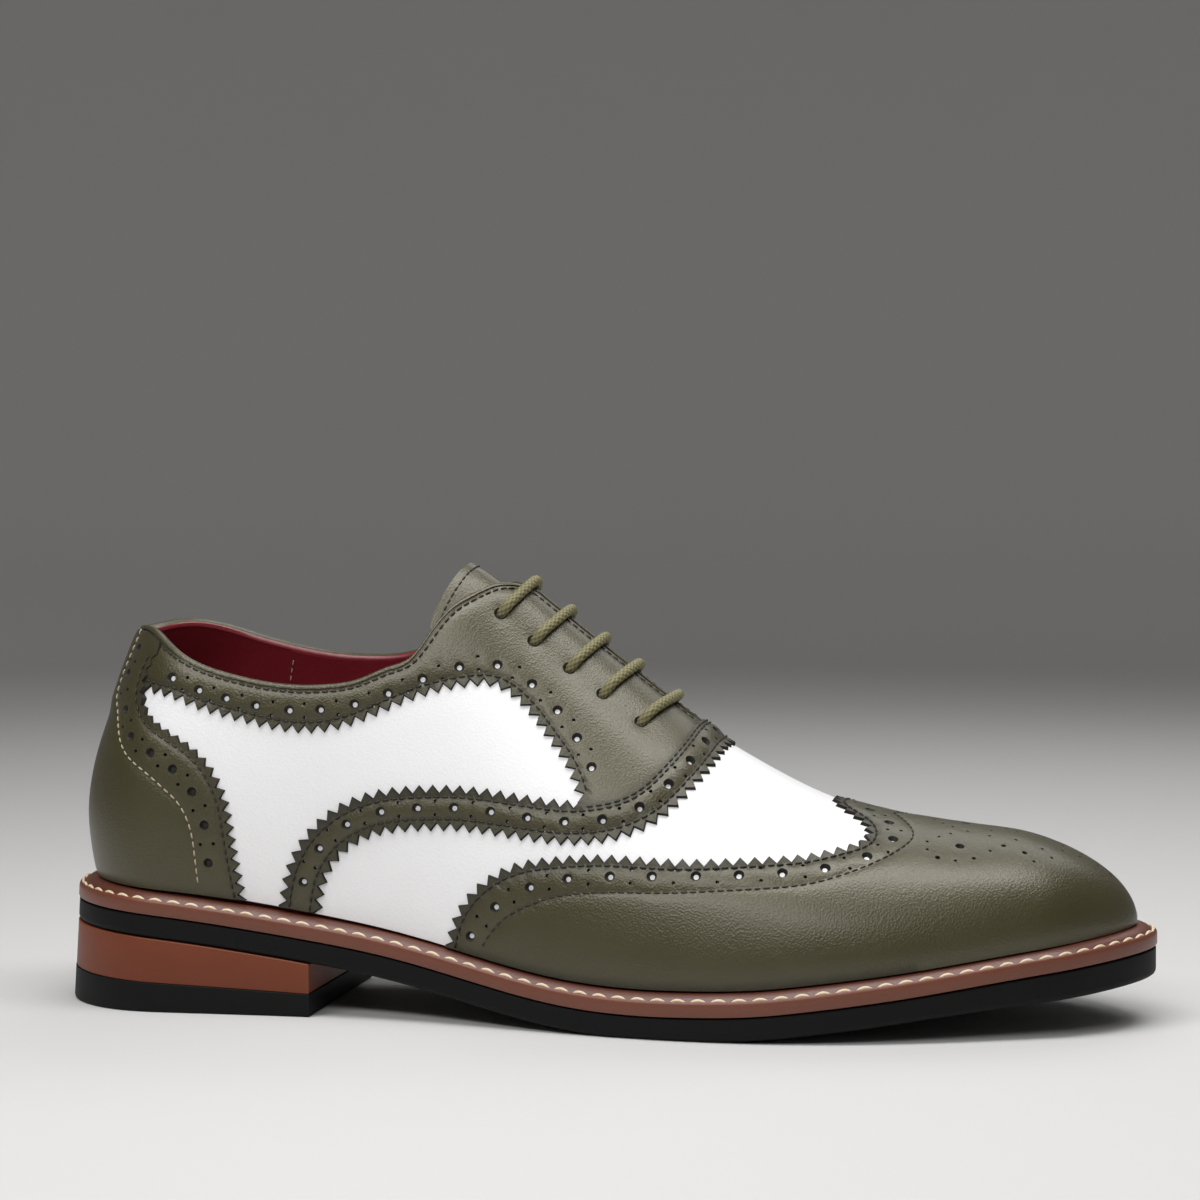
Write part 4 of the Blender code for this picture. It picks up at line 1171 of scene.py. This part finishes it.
q = np.linspace(-TONGUE_HALF, TONGUE_HALF, 45)[:, None]
tongue_xs = np.linspace(tongue_tip(q), 0.612 * LENGTH - 4 * (q / TONGUE_HALF) ** 2, 90, axis=1)[..., 0]
grid_sheet("tongue_leather", "tongue_olive", [cells(tongue_xs, q)], TONGUE, olive, "tongue")
q = np.linspace(-TONGUE_HALF, TONGUE_HALF, 90)
tongue_line = offset(Front, Front.plane(tongue_tip(q), q), -2.4)[6:-6]
stitches("tongue_", Front, [tongue_line], -3.4, "tongue_olive")

# Lace: one woven cord over the slit through every pair of holes
CORD_SIDES, CORD_STEP = 36, 0.25
STRANDS, TWILL = 6, 3.4
HOLE_SHARE, HOLE_DIVE = 0.80, 5.2


def woven(points, outward, radius):
    """A braided round cord along points, and how deep in the braid each of its points lies."""
    run = run_of(points)
    even = np.linspace(0, run[-1], int(run[-1] / CORD_STEP))
    centre, up = at_run(even, run, points), at_run(even, run, outward)
    tangent = unit(np.gradient(centre, axis=0))
    across = unit(np.cross(tangent, up))
    angle, along = np.meshgrid(2 * math.pi * np.arange(CORD_SIDES) / CORD_SIDES, even)
    strand = np.cos(STRANDS * angle) * np.cos(TWILL * along)
    mesh = tube(centre, across, np.cross(across, tangent), radius * (0.92 + 0.11 * strand))
    return mesh, (0.5 - 0.5 * strand).reshape(-1) ** 1.5


cords, depths = [], []
for at, up, ridge_at in EYELETS:
    reach = 1 - up
    bend = spline([-reach, 0, reach], [at * LENGTH, ridge_at * LENGTH, at * LENGTH])
    q = np.linspace(-reach, reach, 60)
    # it rises out of one hole, lies over the facings and the slit, and dips into the other
    dive = np.clip((np.abs(q) / reach - HOLE_SHARE) / (1 - HOLE_SHARE), 0, 1)
    lift = HIGH + 0.2 + LACE / 2 - HOLE_DIVE * dive ** 2
    centre = on_skin(bend(q), q, lift)
    mesh, depth = woven(centre, on_skin(bend(q), q, lift + 1) - centre, LACE / 2)
    cords.append(mesh)
    # Deeper in the braid, darker: painted shade in the cord's crevices
    depths.append(0.75 * depth)
piece("laces", "lace_olive", *joined(cords), [cord], *["lace_bar_%d" % k for k in range(1, 6)],
      sharp=None, burnish_and_painted_shade=np.concatenate(depths))

# Sole and heel
WELT_SIDE, WELT_FALL = 4.7, 1.5
SOLE_THICK, TOE_EXTRA = 6.0, 1.5
TREAD_INSET, TREAD_DEPTH = 6.5, 0.8
RIB_PITCH, RIB_ROOT, RIB_CREST = 5.0, 1.7, 1.2
BREAST_X = 0.257 * LENGTH
LIFT_BACK, LIFT_BREAST = 9.4, 6.2
RAKE = 0.06
welt_low = WELT_FALL + WELT_SIDE
sole_top = welt_low + 0.45
heel_low = sole_top + SOLE_THICK + 0.4


def loop_of(lateral, medial):
    return np.concatenate([lateral, medial[-2:0:-1]])


def outline(inset):
    """Lateral and medial points, heel to toe, of the outsole's outline drawn in or let out."""
    xs = np.concatenate([
        SOLE_HEEL_ROUND * (1 - np.cos(np.linspace(0, math.pi / 2, 26)))[:-1],
        np.linspace(SOLE_HEEL_ROUND, LENGTH - SOLE_TOE_ROUND, 90),
        LENGTH - SOLE_TOE_ROUND * (1 - np.sin(np.linspace(0, math.pi / 2, 34)[1:])),
    ])
    ends = end(xs, SOLE_HEEL_ROUND) * end(LENGTH - xs, SOLE_TOE_ROUND)
    loop = loop_of(*(np.stack([xs, y * ends], axis=1) for y in (-sole_lateral(xs), sole_medial(xs))))
    path = unit(np.roll(loop, -1, axis=0) - np.roll(loop, 1, axis=0))
    loop = loop + inset * np.stack([-path[:, 1], path[:, 0]], axis=1)
    n = len(xs)
    return loop[:n], np.concatenate([loop[:1], loop[n:][::-1], loop[n - 1:n]])


def rake(x, z):
    """The back of the heel leans forward as it rises."""
    return RAKE * z * (1 - smooth(x / (0.262 * LENGTH)))


def raked(x, y, z):
    return np.stack([x + rake(x, z), y, z], axis=1)


def below(depth):
    return lambda x: feather_z(x) - depth


def sole_bottom(x):
    """Flat under the ball, and thicker toward the toe."""
    toe = smooth((x / LENGTH - 0.787) / 0.164)
    return np.maximum(feather_z(x) - sole_top - SOLE_THICK - TOE_EXTRA * toe, 0.0)


def sole_over(rise):
    return lambda x: sole_bottom(x) + rise


def plate(name, slot, layers, material, solid):
    """A solid through layers of (outline, height), capped at both ends."""
    rings = []
    for (lateral, medial), height in layers:
        x, y = np.concatenate([lateral, medial[::-1]]).T
        rings.append(raked(x, y, height(x) * np.ones(len(x))))
    n, m = len(rings), len(rings[0])
    faces = quads(n, m, around=True)
    for start, turn in ((0, -1), ((n - 1) * m, 1)):
        for k in range(m // 2 - 1):
            faces.append([start + k, start + k + 1, start + m - 2 - k, start + m - 1 - k][::turn])
    (points,), faces = weld([np.concatenate(rings)], faces)
    piece(name, slot, points, faces, [material], solid, sharp=40)


# Welt: it falls away from the upper to a stitched groove at its rounded outer edge
WELT_PROFILE = [
    # inset, depth under the feather
    (WELT_MARGIN + 4.0, 0.35), (WELT_MARGIN - 0.3, 0.30), (3.5, 0.42), (2.9, 0.75), (2.3, 1.15),
    (1.8, 1.6), (1.45, 2.0), (1.15, 2.25), (0.85, 2.15), (0.55, 2.05), (0.25, 2.3), (0.06, 2.7),
    (0.0, 3.2), (0.0, welt_low - 0.45), (0.18, welt_low - 0.1), (0.5, welt_low),
    (WELT_MARGIN + 4.0, welt_low),
]
BURNISHED = range(1, 6)
loops = []
for inset, depth in WELT_PROFILE:
    x, y = loop_of(*outline(inset)).T
    loops.append(raked(x, y, feather_z(x) - depth))
n, m = len(loops), len(loops[0])
faces = [[v % (n * m) for v in face] for face in quads(n + 1, m, around=True)]
kinds = [int(p in BURNISHED) for p in range(n) for _ in range(m)]
piece("welt_strip", "welt_tan", np.concatenate(loops), faces, [tan, tan_dark], "welt", kinds=kinds,
      sharp=40)

plate("outsole_rubber", "outsole_black", [
    (outline(TREAD_INSET + 0.6), sole_over(TREAD_DEPTH)),
    (outline(TREAD_INSET), sole_bottom),
    (outline(2.0), sole_bottom),
    (outline(1.3), sole_over(0.12)),
    (outline(0.7), sole_over(0.5)),
    (outline(0.35), sole_over(1.1)),
    (outline(0.3), sole_over(1.8)),
    (outline(0.3), below(sole_top + 0.3)),
    (outline(0.6), below(sole_top)),
], rubber, "outsole")

# Ribs across the shallow bed under the forefoot
RIB_SECTION = [
    # reach, rise
    (-RIB_ROOT, TREAD_DEPTH + 0.1), (RIB_ROOT, TREAD_DEPTH + 0.1), (RIB_CREST, 0.02), (-RIB_CREST, 0.02),
]
bed = [side.T for side in outline(TREAD_INSET + 0.3)]
ribs = []
for middle in np.arange(0.45 * LENGTH, 0.945 * LENGTH, RIB_PITCH):
    points = [(middle + reach, np.interp(middle + reach, *side), sole_bottom(middle + reach) + rise)
              for side in bed for reach, rise in RIB_SECTION]
    ribs.append((np.array(points), quads(2, 4, around=True) + [[3, 2, 1, 0], [4, 5, 6, 7]]))
piece("outsole_ribs", "outsole_black", *joined(ribs), [rubber], sharp=30)


def lift_over(rise):
    return lambda x: LIFT_BACK + (LIFT_BREAST - LIFT_BACK) * x / BREAST_X + rise


def heel_outline(inset):
    xs = np.concatenate([
        SOLE_HEEL_ROUND * (1 - np.cos(np.linspace(0, math.pi / 2, 40)))[:-1],
        np.linspace(SOLE_HEEL_ROUND, BREAST_X, 24),
    ])
    middle = np.array([[SOLE_HEEL_ROUND, 0.0]])
    shrink = 1 - inset / SOLE_HEEL_ROUND
    return [middle + (np.stack([xs, y * end(xs, SOLE_HEEL_ROUND)], axis=1) - middle) * shrink
            for y in (-sole_lateral(xs), sole_medial(xs))]


plate("heel_stack", "heel_tan", [
    (heel_outline(0.5), lift_over(0.15)),
    (heel_outline(0.3), lift_over(0.4)),
    (heel_outline(0.3), below(heel_low - 0.1)),
    (heel_outline(0.5), below(heel_low - 0.3)),
], tan_heel, "heel_block")
plate("heel_top_lift", "top_lift_black", [
    (heel_outline(0.9), lambda x: 0.0),
    (heel_outline(0.45), lambda x: 0.25),
    (heel_outline(0.2), lambda x: 0.8),
    (heel_outline(0.2), lift_over(-0.15)),
    (heel_outline(0.35), lift_over(0.0)),
], rubber, "top_lift")


def inner_outline(clear):
    """The upper's inner wall at the feather, drawn in by a clearance, less the heel's rake."""
    xs = x_of(np.linspace(HEEL_START, TOE_END, 130))
    sides = []
    for side in (-1, 1):
        points = skin(xs, q_of(np.full(len(xs), 0.03), side), -2.4 - clear)
        points[:, 0] -= rake(points[:, 0], points[:, 2])
        points[0, 1] = points[-1, 1] = 0.0
        sides.append(points[:, :2])
    return sides


plate("sock_lining", "insole_lining", [
    (inner_outline(1.6), below(welt_low - 0.2)),
    (inner_outline(1.6), below(-1.2)),
    (inner_outline(0.4), below(-1.4)),
    (inner_outline(0.3), below(-2.6)),
], burgundy, "insole")

# Welt stitches: cream thread lying in the groove
WELT_PITCH, GROOVE_DEPTH = 5.4, 2.12
THREAD_RISES = np.array([-0.75, -0.25, 0.10, 0.28, 0.36, 0.28, 0.10, -0.25, -0.75])
THREAD_RADII = 0.42 * np.array([0.3, 0.7, 0.9, 1.0, 1.0, 1.0, 0.9, 0.7, 0.3])[:, None]
ring = loop_of(*outline(1.0))
ring = np.concatenate([ring, ring[:1]])
run = run_of(ring)
count = round(run[-1] / WELT_PITCH)
threads = []
for k in range(count):
    x, y = at_run((k + np.linspace(0.03, 0.97, len(THREAD_RISES))) * run[-1] / count, run, ring).T
    line = raked(x, y, feather_z(x) - GROOVE_DEPTH + THREAD_RISES)
    tangent = unit(np.gradient(line, axis=0))
    across = unit(np.cross((0, 0, 1.0), tangent))
    threads.append(tube(line, across, np.cross(tangent, across), THREAD_RADII * np.ones(8)))
piece("welt_stitches", "welt_tan", *joined(threads), [thread_cream], sharp=None)


def place(made, at, *axes):
    """The object in the scene, its x, y and z along the axes."""
    pose = np.eye(4)
    pose[:3] = np.stack([*axes, at], axis=1)
    made.matrix_world = Matrix(pose.tolist())
    bpy.context.scene.collection.objects.link(made)


# Camera: where the photograph was taken from, in the shoe's millimetres, turned by AZIMUTH
CAMERA_AT = (296.0, -774.0, 139.0)
AZIMUTH, PITCH, ROLL = math.radians(10.5), math.radians(1.9), math.radians(-0.13)
FOCAL, SENSOR = 84.96, 36.0
right = np.array([math.cos(AZIMUTH), math.sin(AZIMUTH), 0.0])
back = np.array([right[1] * math.cos(PITCH), -right[0] * math.cos(PITCH), math.sin(PITCH)])
up = np.cross(back, right)
right, up = math.cos(ROLL) * right + math.sin(ROLL) * up, math.cos(ROLL) * up - math.sin(ROLL) * right
camera_data = bpy.data.cameras.new("camera")
camera_data.lens, camera_data.sensor_width = FOCAL, SENSOR
camera_data.clip_start = 0.01
camera = bpy.data.objects.new("camera", camera_data)
place(camera, to_row(CAMERA_AT), right, up, back)
bpy.context.scene.camera = camera

# Floor, curved up into a wall all round, in metres
SWEEP = [
    # out, up
    (0.6, 0.0), (1.2, 0.0), (1.7, 0.0), (2.0, 0.06), (2.25, 0.22), (2.42, 0.5), (2.5, 0.9), (2.5, 3.2),
]
AROUND = 96
turns = 2 * math.pi * np.arange(AROUND) / AROUND
points = [(0.0, 0.0, 0.0)] + [(r * math.cos(a), r * math.sin(a), z) for r, z in SWEEP for a in turns]
faces = [[0, 1 + k, 1 + (k + 1) % AROUND] for k in range(AROUND)]
faces += [[1 + v for v in (a, d, c, b)] for a, b, c, d in quads(len(SWEEP), AROUND, around=True)]
mesh = bpy.data.meshes.new("floor")
mesh.from_pydata(points, [], faces)
mesh.materials.append(principled("pale_floor", (0.64, 0.635, 0.63), 0.7)[0])
mesh.polygons.foreach_set("use_smooth", np.ones(len(faces), bool))
floor = bpy.data.objects.new("floor", mesh)
bpy.context.scene.collection.objects.link(floor)


def softbox(name, at, toward, size, power):
    light = bpy.data.lights.new(name, "AREA")
    light.shape = "RECTANGLE"
    light.size, light.size_y = size
    light.energy = power
    back = unit(np.subtract(at, toward))
    across = unit(np.cross((0, 0, 1.0), back))
    place(bpy.data.objects.new(name, light), at, across, np.cross(back, across), back)


softbox("overhead", (0.05, -0.15, 0.80), (0.0, 0.0, 0.04), (0.95, 0.28), 6.0)
softbox("key", (-0.22, -0.85, 0.80), (0.0, 0.0, 0.05), (1.15, 0.24), 6.0)
softbox("rim", (0.2, 0.7, 0.8), (0.0, 0.0, 0.06), (1.0, 0.4), 2.4)

world = bpy.data.worlds.new("studio")
world.use_nodes = True
background = world.node_tree.nodes["Background"]
background.inputs["Color"].default_value = (0.78, 0.77, 0.75, 1)
background.inputs["Strength"].default_value = 0.22
bpy.context.scene.world = world
bpy.context.scene.view_settings.view_transform = "Standard"
